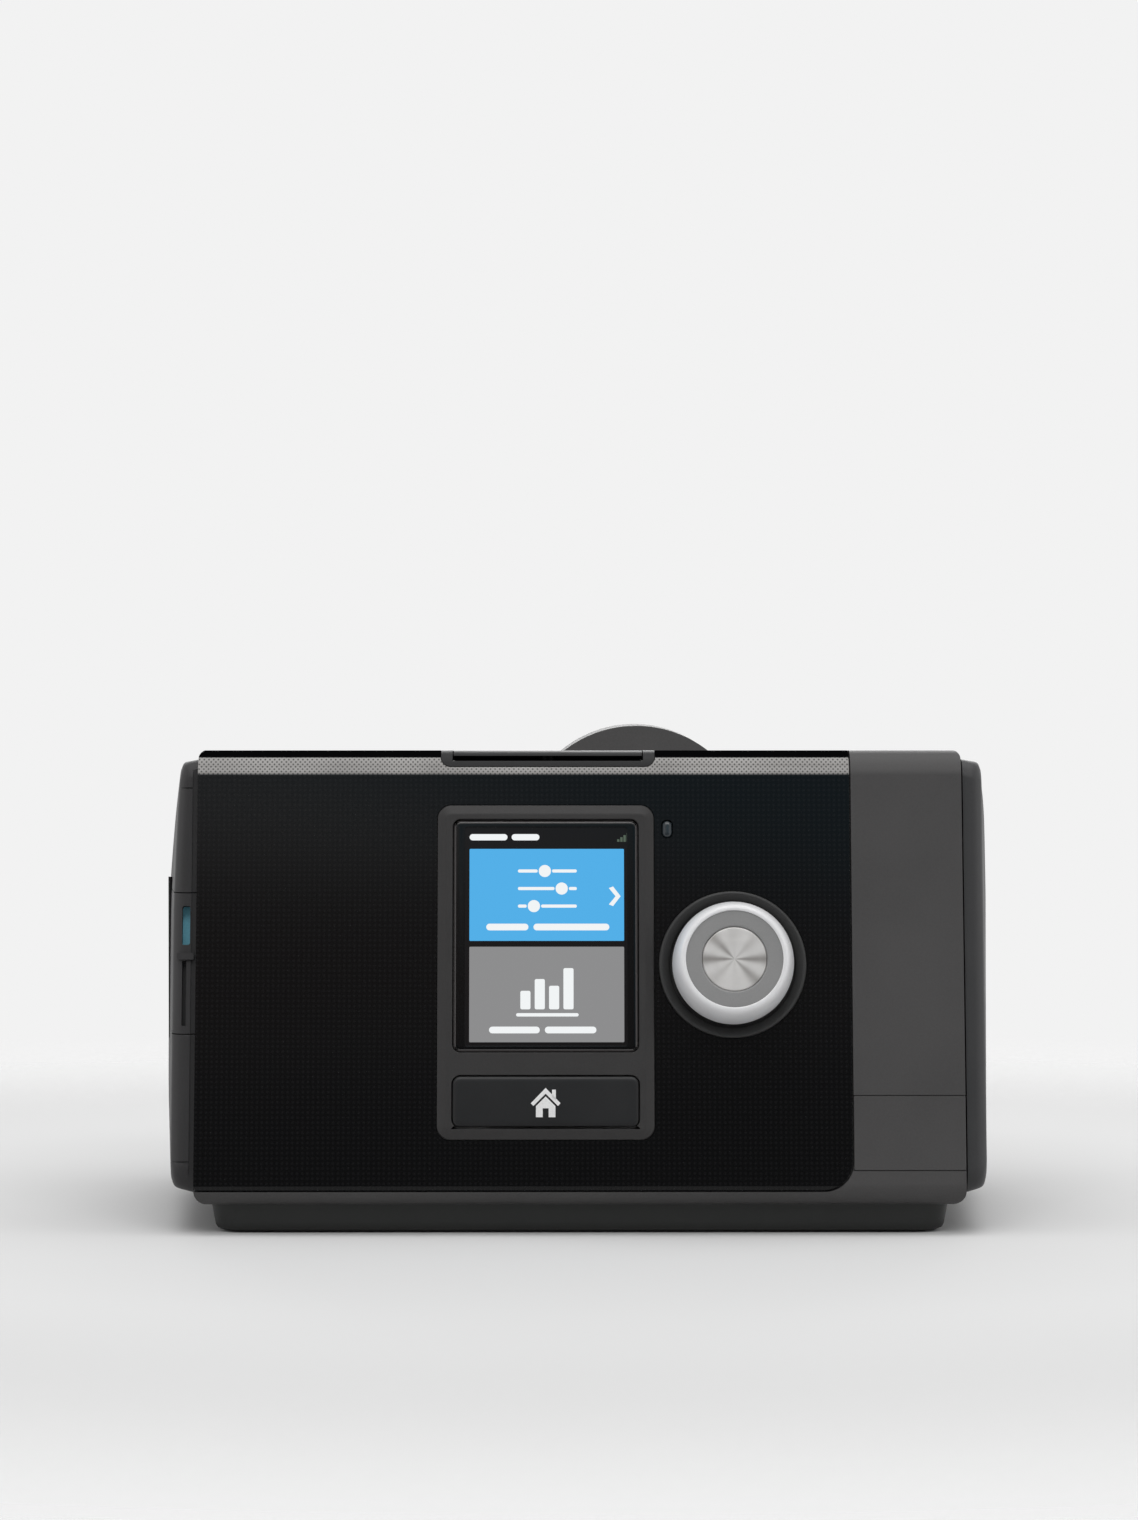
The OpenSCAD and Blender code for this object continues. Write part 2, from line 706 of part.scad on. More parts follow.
module rubber_feet() color("#1d1e1f")
    for (p = foot_places()) z_disc(p[0], p[1], foot_r, 0, foot_h + 0.6);

module base_screws() color("#8f9194")
    for (p = screw_places) {
        z_disc(p[0], p[1], screw_r, foot_h + 1, boss_top - 1.5);
        z_disc(p[0], p[1], 2.6, foot_h + 0.4, foot_h + 2);
    }

function lcd_pts(gap) =
    rect(display_mid - lens_w / 2 + lcd_edge - gap, bezel_low + lens_low + 1.1 - gap,
         display_mid + lens_w / 2 - lcd_edge + gap, bezel_low + lens_low + lens_h - 1.3 + gap, 0.5);

module display_bezel() color("#4c4d4e")
    difference() {
        face_plate(bezel_pts(0), -fascia_t, bezel_rise);
        face_plate(lens_pts(0.1), -fascia_t - 1, bezel_rise + 1);
        face_plate(home_pts(play), -fascia_t - 1, bezel_rise + 1);
    }

lens_front = 0.1;

module display_lens() color("#101214") face_plate(lens_pts(0), lens_front - lens_t, lens_front);

module lcd_panel() color("#50b0ea") face_plate(lcd_pts(0), lens_front - lens_t - lcd_t, lens_front - lens_t);

module home_button() color("#242526") {
    face_plate(home_pts(0, 1.8), -fascia_t + home_travel + 0.1, bezel_rise - 0.1);
    face_disc(display_mid, home_mid_s, stem_r, pcb_front + switch_h + home_travel + 0.1,
              -fascia_t + home_travel + 0.1);
}

module home_switch() color("#c9cacc") {
    face_plate(rect(display_mid - 3, home_mid_s - 3, display_mid + 3, home_mid_s + 3, 0.3),
               pcb_front, pcb_front + 1.3);
    face_disc(display_mid, home_mid_s, 1.5, pcb_front + 1.3, pcb_front + switch_h);
}

ring_inner = knob_r + 0.5;
knob_low = dial_travel + 0.5;       // underside of the knob above the fascia
rim_r = 11.4;                       // inner edge of the knob's rounded rim
flank_low = knob_low + 2;           // where the knob's flank starts to curve inwards
dish_w = knob_h - 1.3;              // floor of the dish in the knob's front
cap_r = 7.65;
hub_r = 2.2;
face_t = 0.9;

module dial_ring() color("#1a1b1c")
    on_face() translate([dial_mid, dial_up, -fascia_t]) rotate_extrude()
        polygon([[ring_inner, 0], [ring_r, 0], [ring_r, fascia_t + 0.5],
                 [ring_r - 1, fascia_t + 0.8], [ring_inner, fascia_t - 0.2]]);

module dial_plunger() color("#b4b6b8") {
    face_disc(dial_mid, dial_up, shaft_r, pcb_front + 0.3 + dial_travel + 0.1, knob_low + 1.9);
    face_disc(dial_mid, dial_up, hub_r, knob_low + 1.9, dish_w - 2);
}

module dial_knob() color("#d9dadb")
    on_face() translate([dial_mid, dial_up, 0]) rotate_extrude() difference() {
        polygon(concat([[0, knob_low + 2], [6, knob_low + 2], [6, knob_low + 6], [knob_r - 1.5, knob_low + 6],
                        [knob_r - 1.5, knob_low], [knob_r, knob_low]],
                       [for (a = [0:9:90]) [knob_r - knob_taper * (1 - cos(a)),
                                            flank_low + (knob_h - flank_low) * sin(a)]],
                       [[rim_r + 0.4, knob_h], [rim_r, dish_w], [0, dish_w]]));
        square([hub_r + bearing, dish_w - 1.7]);
        translate([0, dish_w - 1]) square([cap_r, 9]);
    }

module dial_face() color("#8c8c8c")
    on_face() translate([dial_mid, dial_up, dish_w]) difference() {
        cylinder(r = rim_r, h = face_t);
        translate([0, 0, -1]) cylinder(r = cap_r, h = face_t + 2);
    }

module dial_cap() color("#b8b8b8")
    face_disc(dial_mid, dial_up, cap_r - 0.05, dish_w - 1, dish_w + face_t - 0.2);

module dial_encoder() color("#2c5f3c")
    difference() {
        face_plate(rect(dial_mid - 6.5, dial_up - 6.5, dial_mid + 6.5, dial_up + 6.5, 0.5),
                   pcb_front, pcb_front + 4);
        face_disc(dial_mid, dial_up, shaft_r + bearing, pcb_front + 0.3, pcb_front + 5);
    }

module light_window() color("#2b3134") face_plate(window_pts(0), -fascia_t, 0);

module start_trim() color("#1c1d1e")
    difference() {
        intersection() {
            along_x(x_left, x_right) polygon(side_outline(0));
            trim_zone(0);
        }
        box(trim_mid - start_w / 2 - play, trim_mid + start_w / 2 + play, trim_back - trim_d - 12,
            trim_back - 2 + play, trim_low, z_top + 5);
        z_disc(trim_mid, stem_y, stem_r + play, 0, z_top);
    }

module start_button() color("#28292a") {
    intersection() {
        along_x(x_left, x_right) polygon(side_outline(0.05));
        box(trim_mid - start_w / 2, trim_mid + start_w / 2, trim_back - trim_d - 12, trim_back - 2,
            start_low, z_top + 5);
    }
    z_disc(trim_mid, stem_y, stem_r, start_stem_end, start_low);
}

module start_switch_board() color("#2f6b45") {
    box(trim_mid - 12, trim_mid + 12, trim_back - 11, trim_back + 7, start_board_z, start_board_z + pcb_t);
    box(trim_mid - 3, trim_mid + 3, trim_back - 10, trim_back - 4,
        start_board_z + pcb_t, start_board_z + 2.4);
    z_disc(trim_mid, stem_y, 1.5, start_board_z + 2.4, start_stem_end - start_travel - 0.1);
}

module main_pcb() color("#1f5a37") {
    difference() {
        face_plate(rect(pcb_x0, pcb_s0, pcb_x1, pcb_s1, 2), pcb_back, pcb_front);
        for (p = pcb_posts) face_disc(p[0], p[1], screw_r + 0.3, pcb_back - 1, pcb_front + 1);
    }
    for (p = [[20, 20, 14], [48, 64, 10], [70, 30, 12], [98, 70, 9]])
        face_plate(rect(x_left + p[0], p[1], x_left + p[0] + p[2], p[1] + p[2], 0.4),
                   pcb_back - 1.2, pcb_back);
}

module pcb_screws() color("#a5a7aa")
    for (p = pcb_posts) {
        face_disc(p[0], p[1], screw_r, pcb_back, -skin - 1);
        face_disc(p[0], p[1], 2.4, pcb_back - 1.6, pcb_back);
    }

// Blower, from the bottom up
volute_wall = 2;
channel_w = 16.5;
inlet_hole_r = 12;
volute_top = blower_z + blower_h;
volute_out = [-blower_r + 1, -blower_r + 1 + channel_w];   // outlet channel from front to back

module volute_shape(r, y0, y1, x1) {
    circle(r = r);
    translate([0, y0]) square([x1, y1 - y0]);
}

module blower_volute() color("#d6d7d8")
    translate([blower_x, blower_y, 0]) difference() {
        translate([0, 0, blower_z]) linear_extrude(blower_h)
            volute_shape(blower_r, volute_out[0], volute_out[1], duct_x0 - blower_x);
        translate([0, 0, blower_z + volute_wall]) linear_extrude(blower_h)
            volute_shape(blower_r - volute_wall, volute_out[0] + volute_wall, volute_out[1] - volute_wall,
                         duct_x0 - blower_x + 1);
        z_disc(0, 0, impeller_shaft_r + 1, 0, volute_top);
    }

module blower_cover() color("#c9cacb")
    translate([blower_x, blower_y, volute_top]) difference() {
        linear_extrude(2) volute_shape(blower_r, volute_out[0], volute_out[1], duct_x0 - blower_x);
        translate([0, 0, -1]) cylinder(r = inlet_hole_r, h = 4);
    }

module impeller() color("#f0f0ee")
    translate([blower_x, blower_y, 0]) {
        z_disc(0, 0, impeller_shaft_r, blower_z - motor_h + 3, blower_z + 6);
        z_disc(0, 0, impeller_r, blower_z + 5, blower_z + 6.4);
        difference() {
            z_disc(0, 0, 5, blower_z + 6, blower_z + 16);
            z_disc(0, 0, 2.4, blower_z + 12, blower_z + 17);
        }
        for (i = [0:blade_count - 1]) rotate(i * 360 / blade_count)
            translate([4.5, 0, blower_z + 6.3]) rotate([0, 0, -35]) translate([0, -0.6, 0])
                cube([impeller_r - 8.5, 1.2, blower_h - 11]);
    }

module blower_motor() color("#6f7274")
    difference() {
        z_disc(blower_x, blower_y, motor_r, blower_z - motor_h, blower_z);
        z_disc(blower_x, blower_y, impeller_shaft_r + bearing, blower_z - motor_h + 2.9, blower_z + 1);
    }

module blower_mounts() color("#3a3c3e")
    for (a = [30, 150, 270])
        translate([blower_x + mount_ring * cos(a), blower_y + mount_ring * sin(a), floor_z])
            rotate_extrude() polygon([[0, 0], [6, 0], [6, 4], [4, 7], [4, mount_len - 6],
                                      [5.5, mount_len - 3], [5.5, mount_len], [0, mount_len]]);

// Upright box duct from the blower's outlet to the tub's inlet port
duct_y0 = blower_y + volute_out[0];
duct_y1 = duct_y0 + channel_w + 2.5;

module air_duct() color("#d6d7d8")
    difference() {
        box(duct_x0, duct_x1, duct_y0, duct_y1, blower_z, port_in[1] + port_r + 3);
        box(duct_x0 + duct_wall, duct_x1 - duct_wall, duct_y0 + duct_wall, duct_y1 - duct_wall,
            blower_z + duct_wall, port_in[1] + port_r + 3 - duct_wall);
        box(duct_x0 - 1, duct_x0 + 2, duct_y0 + volute_wall, blower_y + volute_out[1] - volute_wall,
            blower_z + volute_wall, volute_top);
        x_disc(port_in[0], port_in[1], port_r, duct_x0 + 3, duct_x1 + 1);
    }

plenum_z0 = volute_top + 2;
plenum_z1 = filter_z1 - 2;
plenum_x0 = blower_x - 30;
plenum_x1 = filter_x0 + filter_w + 2.5;
frame_front = back_in - 9;

module intake_plenum() color("#bfc1c2")
    difference() {
        box(plenum_x0, plenum_x1, blower_y - 30, frame_front, plenum_z0, plenum_z1);
        box(plenum_x0 + duct_wall, plenum_x1 - duct_wall, blower_y - 30 + duct_wall, frame_front + 1,
            plenum_z0 + duct_wall, plenum_z1 - duct_wall);
        z_disc(blower_x, blower_y, inlet_hole_r, 0, plenum_z0 + 4);
    }

filter_mid = filter_x0 + filter_w / 2;

module filter_frame() color("#313234")
    difference() {
        box(filter_x0 - 2.5, filter_x0 + filter_w + 2.5, frame_front, back_in,
            filter_low - 2.5, filter_z1 + 2.5);
        box(filter_x0 + 3, filter_x0 + filter_w - 3, back_in - filter_t, back_in + 1,
            filter_low + 3, filter_z1 - 3);
        box(filter_x0 + 5, filter_x0 + filter_w - 5, frame_front - 1, back_in, filter_low + 5, filter_z1 - 5);
        z_disc(filter_axis[0], filter_axis[1], hinge_r + play, filter_low - play, filter_z1 + play);
    }

module air_filter() color("#e9e7de")
    box(filter_x0 + 3 + fit, filter_x0 + filter_w - 3 - fit, back_in - filter_t, back_in - 0.4,
        filter_low + 3 + fit, filter_z1 - 3 - fit);

module filter_cover() color("#3f4041")
    difference() {
        union() {
            box(filter_axis[0], filter_x0 + filter_w, y_back - cover_t + 0.1, y_back, filter_low, filter_z1);
            z_disc(filter_axis[0], filter_axis[1], hinge_r, filter_low + 4, filter_z1 - 4);
        }
        for (z = [filter_low - 1, filter_z1 - 4])
            box(filter_axis[0] - 3, filter_axis[0] + hinge_r + play, y_back - 4, y_back + 1, z, z + 5);
        z_disc(filter_axis[0], filter_axis[1], pin_r + bearing, filter_low, filter_z1);
        for (i = [0:louvre_count - 1])
            box(filter_mid - 14, filter_mid + 17, y_back - 4, y_back + 1,
                filter_low + 9 + i * (filter_h - 18) / (louvre_count - 1) - 1.3,
                filter_low + 9 + i * (filter_h - 18) / (louvre_count - 1) + 1.3);
    }

// Pin and the two fixed knuckles that hold its ends
module filter_hinge_pin() color("#8f9194") {
    z_disc(filter_axis[0], filter_axis[1], pin_r, filter_low + 2, filter_z1 - 2);
    for (z = [filter_low, filter_z1 - 3.8]) {
        z_disc(filter_axis[0], filter_axis[1], hinge_r - 0.1, z, z + 3.8);
        box(filter_axis[0] - 1.6, filter_axis[0] - 0.4, back_in, filter_axis[1], z, z + 3.8);
    }
}

module power_inlet() color("#1b1c1d")
    difference() {
        box(-inlet_x - 7, -inlet_x + 7, y_back - inlet_deep - 4, y_back, inlet_z - 8, inlet_z + 8);
        y_disc(-inlet_x, inlet_z, inlet_r, y_back - inlet_deep, y_back + 1);
    }

// Clip that swings down over the plug, stowed upright
module retention_clip() color("#2a2b2c")
    difference() {
        union() {
            box(-inlet_x - clip_w / 2, -inlet_x + clip_w / 2, clip_y - clip_t / 2, clip_y + clip_t / 2,
                clip_z, clip_z + clip_h);
            x_disc(clip_y, clip_z, clip_barrel, -inlet_x - clip_w / 2, -inlet_x + clip_w / 2);
            box(-inlet_x - clip_w / 2, -inlet_x + clip_w / 2, clip_y - clip_t / 2, clip_y + 2.6,
                clip_z + clip_h - 1.6, clip_z + clip_h);
        }
        box(-inlet_x - clip_w / 2 + 3, -inlet_x + clip_w / 2 - 3, clip_y - 3, clip_y + 1.5,
            clip_z + 3.5, clip_z + clip_h - 3);
        x_disc(clip_y, clip_z, clip_pin_r + bearing, -inlet_x - clip_w, -inlet_x + clip_w);
    }

module clip_pin() color("#b0b2b4")
    x_disc(clip_y, clip_z, clip_pin_r, -inlet_x - clip_w / 2 - play - 2, -inlet_x + clip_w / 2 + play + 2);

// Bay that the tub slides into, open to the right
heater_x0 = (bay_x0 + tub_x1) / 2 - heater_side / 2;
heater_x1 = heater_x0 + heater_side;
heater_y0 = tub_mid - heater_side / 2;
heater_y1 = tub_mid + heater_side / 2;

module tub_dock() color("#333537")
    difference() {
        union() {
            box(bay_x0 - bay_wall, x_right - 2, bay_y0 - bay_wall, bay_y1 + bay_wall,
                floor_z, bay_top + bay_wall);
            // collar that closes the housing's open end round the bay
            along_x(x_right - 4.4, x_right - 2) polygon(room_outline(fit));
        }
        box(bay_x0, x_right, bay_y0, bay_y1, bay_z, bay_top);
        box(bay_x0 + 3, x_right - 8, bay_y0 + 3, bay_y1 - 3, spring_z, bay_z - 2);
        box(heater_x0 - fit, heater_x1 + fit, heater_y0 - fit, heater_y1 + fit, bay_z - 3, bay_z + 1);
        x_disc(port_in[0], port_in[1], port_r, bay_x0 - 3, bay_x0 + 1);
        x_disc(port_out[0], port_out[1], port_r, bay_x0 - 3, bay_x0 + 1);
    }

heater_t = 2;

module heater_plate() color("#a9acaf")
    box(heater_x0, heater_x1, heater_y0, heater_y1, bay_z + 0.2 - heater_t, bay_z + 0.2);

module heater_springs() color("#9c9fa2")
    for (x = [heater_x0 + 9, heater_x1 - 9], y = [heater_y0 + 9, heater_y1 - 9])
        translate([x, y, spring_z]) rotate_extrude()
            translate([3, 0]) square([0.8, bay_z + 0.2 - heater_t - spring_z]);

module tub_body() color("#9fb0ba")
    difference() {
        union() {
            along_x(tub_x0, tub_x1) polygon(rect(tub_y0, tub_z0, tub_y1, tub_z0 + 2 * tub_low_h, 6));
            for (y = [tub_mid - 22, tub_mid + 22]) x_disc(y, tub_z0 + 18, 5, tub_x1 - 1, x_right + play);
        }
        box(tub_x0 - 1, x_right + 5, tub_y0 - 1, tub_y1 + 1, split_z, tub_z1 + 9);
        along_x(tub_x0 + tub_wall, tub_x1 - tub_wall)
            polygon(rect(tub_y0 + tub_wall, tub_z0 + tub_wall, tub_y1 - tub_wall, tub_z0 + 2 * tub_low_h, 4));
        box(heater_x0 + 1.2, heater_x1 - 1.2, heater_y0 + 1.2, heater_y1 - 1.2,
            tub_z0 - 1, tub_z0 + tub_wall + 1);
    }

module tub_heat_plate() color("#b9bcbe")
    union() {
        box(heater_x0 + 1.2 + fit, heater_x1 - 1.2 - fit, heater_y0 + 1.2 + fit, heater_y1 - 1.2 - fit,
            tub_z0, tub_z0 + tub_wall);
        box(heater_x0 - 1, heater_x1 + 1, heater_y0 - 1, heater_y1 + 1,
            tub_z0 + tub_wall, tub_z0 + tub_wall + 1);
    }

module tub_ring(z0, z1, edge)
    difference() {
        box(tub_x0 + edge, tub_x1 - edge, tub_y0 + edge, tub_y1 - edge, z0, z1);
        box(tub_x0 + tub_wall, tub_x1 - tub_wall, tub_y0 + tub_wall, tub_y1 - tub_wall,
            z0 - 1, z1 + 1);
    }

module tub_seal() color("#e3e4e2") tub_ring(split_z, split_z + seal_t, 0.3);

module tub_lid() color("#8fa4b0")
    difference() {
        along_x(tub_x0, tub_x1) polygon(rect(tub_y0, tub_z1 - 2 * tub_low_h, tub_y1, tub_z1, 6));
        box(tub_x0 - 1, tub_x1 + 1, tub_y0 - 1, tub_y1 + 1, 0, split_z + seal_t);
        along_x(tub_x0 + tub_wall, tub_x1 - tub_wall)
            polygon(rect(tub_y0 + tub_wall, tub_z1 - 2 * tub_low_h, tub_y1 - tub_wall, tub_z1 - tub_wall, 4));
        x_disc(port_in[0], port_in[1], port_r, tub_x0 - 1, tub_x0 + 4);
        x_disc(port_out[0], port_out[1], port_r, tub_x0 - 1, tub_x0 + 4);
    }

// Latch between the lid and the tub, on the inner side of the end cap
module tub_latch() color("#5c6165")
    box(tub_x1, tub_x1 + 1.6, tub_mid - 9, tub_mid + 9, split_z - 9, split_z + 9);

module tub_end_cap() color("#404142")
    union() {
        cap_shell(right_fall, play);
        intersection() {
            translate([x_right + play, 0, 0]) cap_solid(1, right_fall);
            difference() {
                box(x_right + play, x_right + play + 1.8, y_front, y_back, z_low, z_top);
                box(x_right, x_right + 4, tub_mid - 14, tub_mid + 14, split_z - 14, split_z + 14);
            }
        }
    }

module outlet_shroud() color("#3c3d3e")
    difference() {
        y_disc(outlet_x, outlet_z, shroud_r, y_back - back_top_r - 4, outlet_back);
        along_x(x_left, x_right) polygon(side_outline(0));
        y_disc(outlet_x, outlet_z, shroud_r - shroud_wall, outlet_floor, outlet_back + 1);
        y_disc(outlet_x, outlet_z, outlet_r + bearing, y_back - 1, outlet_back);
    }

module outlet_connector() color("#2a2b2c")
    difference() {
        union() {
            y_disc(outlet_x, outlet_z, outlet_r, back_in, connector_back);
            y_disc(outlet_x, outlet_z, outlet_r + 2.4, outlet_floor, outlet_floor + flange_t);
        }
        y_disc(outlet_x, outlet_z, outlet_bore, back_in - 1, connector_back + 1);
    }

module outlet_seal() color("#d0d1d0")
    difference() {
        y_disc(outlet_x, outlet_z, outlet_r + 2.1, back_in, back_in + 1.1);
        y_disc(outlet_x, outlet_z, outlet_r + 0.08, back_in - 1, back_in + 2);
    }

// Duct from the tub's outlet port to the back
module duct_room(i) {
    box(duct_x0 + i, duct_x1 - i, port_out[0] - 11 + i, back_in - i,
        port_out[1] - 11 + i, port_out[1] + 12 - i);
    box(duct_x0 + i, outlet_x + 13 - i, bay_y1 + bay_wall + 0.2 + i, back_in - i,
        outlet_z - 13 + i, outlet_z + 12 - i);
}

module outlet_duct() color("#d6d7d8")
    difference() {
        duct_room(0);
        duct_room(duct_wall);
        x_disc(port_out[0], port_out[1], port_r, duct_x1 - 3, duct_x1 + 1);
        y_disc(outlet_x, outlet_z, outlet_bore, back_in - 3, back_in + 1);
    }

base_tray();
rubber_feet();
base_screws();
main_housing();
front_fascia();
badge_panel();
left_end_cap();
display_bezel();
display_lens();
lcd_panel();
home_button();
home_switch();
dial_ring();
dial_plunger();
dial_knob();
dial_face();
dial_cap();
dial_encoder();
light_window();
start_trim();
start_button();
start_switch_board();
main_pcb();
pcb_screws();
blower_volute();
blower_cover();
impeller();
blower_motor();
blower_mounts();
air_duct();
intake_plenum();
filter_frame();
air_filter();
filter_cover();
filter_hinge_pin();
sd_card_door();
sd_door_pin();
sd_card();
sd_socket();
service_cover();
service_socket();
power_inlet();
retention_clip();
clip_pin();
tub_dock();
heater_plate();
heater_springs();
tub_body();
tub_lid();
tub_seal();
tub_heat_plate();
tub_end_cap();
tub_latch();
outlet_shroud();
outlet_connector();
outlet_seal();
outlet_duct();
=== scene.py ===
import math

import bmesh
import bpy
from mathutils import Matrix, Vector


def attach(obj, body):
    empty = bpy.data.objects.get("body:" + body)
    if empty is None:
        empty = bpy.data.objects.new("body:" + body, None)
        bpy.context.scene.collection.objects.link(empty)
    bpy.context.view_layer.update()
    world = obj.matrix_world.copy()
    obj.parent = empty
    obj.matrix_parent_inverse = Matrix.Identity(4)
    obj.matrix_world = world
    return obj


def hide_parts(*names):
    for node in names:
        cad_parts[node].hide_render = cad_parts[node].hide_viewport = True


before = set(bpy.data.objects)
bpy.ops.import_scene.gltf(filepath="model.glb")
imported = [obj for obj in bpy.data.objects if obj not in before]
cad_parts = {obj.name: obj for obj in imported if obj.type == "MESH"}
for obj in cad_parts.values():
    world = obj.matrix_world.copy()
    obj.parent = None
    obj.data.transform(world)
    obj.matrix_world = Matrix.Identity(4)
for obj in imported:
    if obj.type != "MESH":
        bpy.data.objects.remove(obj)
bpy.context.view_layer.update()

MM = 0.001

# Sizes repeated from the part's source, in millimetres
X_LEFT, X_RIGHT = -91.0, 91.0
Y_FRONT, Y_BACK = -71.0, 58.5
Z_LOW, Z_TOP = 7.0, 114.0
BODY_H = Z_TOP - Z_LOW
RECLINE = math.radians(10)
TOP_FALL = 3.5
TOP_SLOPE = TOP_FALL / (Y_BACK - Y_FRONT - BODY_H * math.tan(RECLINE))
WALL, FASCIA_T, FASCIA_BACK, FASCIA_LOW = 2.4, 2.0, 14.0, 3.85
FASCIA_RIGHT = X_LEFT + 155.2
FRONT_TOP_R, FRONT_BOTTOM_R, BACK_TOP_R, BACK_BOTTOM_R = 7.0, 4.5, 10.0, 5.0
SKIN = FASCIA_T + WALL
FLOOR_Z, ROOF_Z, BACK_IN = Z_LOW + WALL, Z_TOP - SKIN, Y_BACK - WALL
FACE_LEN = BODY_H / math.cos(RECLINE)
DIAL_X, DIAL_S = FASCIA_RIGHT - 28, 57.2
DISPLAY_X = DIAL_X - 44.3
BEZEL = (DISPLAY_X - 25.7, 15.7, DISPLAY_X + 25.7, FACE_LEN - 13.3)
LENS = (DISPLAY_X - 22, 36.4, DISPLAY_X + 22, FACE_LEN - 16.8)
HOME = (DISPLAY_X - 22, 18.6, DISPLAY_X + 22, 30.7)
WINDOW = (DIAL_X - 15.4, FACE_LEN - 19)
SENSOR_BOX = (WINDOW[0] - 1.25, WINDOW[1] - 2.1, WINDOW[0] + 1.25, WINDOW[1] + 2.1)
BADGE_S = (8.5, 26.1)
TRIM_X, TRIM_BACK, TRIM_D, TRIM_LOW = DISPLAY_X + 0.5, -35.5, 17.5, Z_TOP - 2.6
START_W, START_LOW = 45.0, TRIM_LOW + 1.2
OUTLET_X, OUTLET_Z, OUTLET_R, OUTLET_BORE = 15.2, Z_TOP - 26, 11.0, 9.3
SHROUD_R, SHROUD_BACK = 30.3, Y_BACK + 17
PAINTED_BAND_Z = (108.3, 112.3)                 # heights that the painted highlight band covers: a pale dotted stripe that stands in for the rolled edge's reflection
CAP_LOW, CAP_TOP, CAP_REACH, CAP_STEP = Z_LOW + 2.4, Z_TOP - 2.2, 11.5, 2.2
CAP_MID_Y, CAP_MID_Z = 12.0, Z_LOW + 0.38 * BODY_H
DOOR_Z = (47.0, 80.0)
DOOR_AXIS = (X_LEFT - 7.9, -35.6)
SERVICE_Y, SERVICE_Z = (-6.0, 32.0), (29.0, 61.0)
DIAL_RING_R, STEM_R, SHAFT_R, PLAY = 17.5, 2.0, 3.0, 0.25
HOME_STEM_S = 24.65
STEM_Y, STEM_END = TRIM_BACK - 7, Z_TOP - 6.3
INLET_X, INLET_Z, INLET_R = (-27, -13), (18, 34), 4.0
INLET_MID, INLET_DEPTH = (-20, 26), 14.0
CLIP_PIN = (Y_BACK + 2.2, 38)           # y and z of the plug clip's pin
FILTER_X, FILTER_Z, FILTER_PIN = (-83.4, -37.0), (36.0, 96.0), (-83.4, Y_BACK - 0.6)
BASE_X, BASE_Y = 87.5, (-65.5, 52.5)
SCREWS = [(x, y) for x in (-77, 77) for y in (-52, 49)]
FEET = [(x, y) for x in (-76.5, 76.5) for y in (-35, 17)]

scene = bpy.context.scene
scene.view_settings.view_transform = "Standard"


# ------------------------------------------------------------------ camera
camera_data = bpy.data.cameras.new("camera")
camera_data.sensor_width = 36
camera_data.lens = 4690 / 1520 * 36
camera = bpy.data.objects.new("camera", camera_data)
camera.location = (-7.07 * MM, -1171 * MM, 137.3 * MM)
camera.rotation_euler = (math.radians(90 - 1.314), 0, math.radians(-0.232))
scene.collection.objects.link(camera)
scene.camera = camera


# ------------------------------------------------------------------ outlines
def corner_arc(p, q, s, r, n):
    """Points of one rounded corner q between its neighbours p and s."""
    p, q, s = Vector(p), Vector(q), Vector(s)
    u, v = (p - q).normalized(), (s - q).normalized()
    half = math.acos(max(-1, min(1, u.dot(v)))) / 2
    c = q + (u + v).normalized() * r / math.sin(half)
    a, b = q + u * r / math.tan(half) - c, q + v * r / math.tan(half) - c
    a0 = math.atan2(a.y, a.x)
    turn = (math.atan2(b.y, b.x) - a0 + math.pi) % (2 * math.pi) - math.pi
    return [(c.x + r * math.cos(a0 + turn * i / n), c.y + r * math.sin(a0 + turn * i / n))
            for i in range(n + 1)]


def rounded(points, radii, n=16):
    k = len(points)
    if not hasattr(radii, "__len__"):
        radii = [radii] * k
    return [p for i in range(k)
            for p in corner_arc(points[i - 1], points[i], points[(i + 1) % k], radii[i], n)]


def rect(x0, y0, x1, y1, r, n=12):
    return rounded([(x0, y0), (x1, y0), (x1, y1), (x0, y1)], r, n)


def grown(box, gap):
    return (box[0] - gap, box[1] - gap, box[2] + gap, box[3] + gap)


def circle(x, y, r, n=128):
    return [(x + r * math.cos(2 * math.pi * i / n), y + r * math.sin(2 * math.pi * i / n))
            for i in range(n)]


def face_y(z, inset=0.0):
    """Front face at a height, moved inwards by an inset."""
    return Y_FRONT + (z - Z_LOW) * math.tan(RECLINE) + inset / math.cos(RECLINE)


def side_outline(i):
    low, top, back = Z_LOW + i, Z_TOP - i, Y_BACK - i
    return rounded([(face_y(low, i), low), (back, low), (back, top - TOP_FALL), (face_y(top, i), top)],
                   [max(r - i, 1.5) for r in (FRONT_BOTTOM_R, BACK_BOTTOM_R, BACK_TOP_R, FRONT_TOP_R)], 24)


def room_outline(i=0.0):
    low, top, back = FLOOR_Z + i, ROOF_Z - i, BACK_IN - i
    return rounded([(face_y(low, SKIN + i), low), (back, low), (back, top - TOP_FALL),
                    (face_y(top, SKIN + i), top)],
                   [1.5, BACK_BOTTOM_R - WALL, BACK_TOP_R - SKIN, FRONT_TOP_R - SKIN], 12)


# ------------------------------------------------------------------ solids
def on_face(x, s, w):
    """A point of the front face: x, distance up the face, height above it."""
    c, d = math.cos(RECLINE), math.sin(RECLINE)
    return (x, Y_FRONT + s * d - w * c, Z_LOW + s * c + w * d)


def face_s(point):
    """Distance up the face of a point in metres, in millimetres."""
    return (point.y / MM - Y_FRONT) * math.sin(RECLINE) + (point.z / MM - Z_LOW) * math.cos(RECLINE)


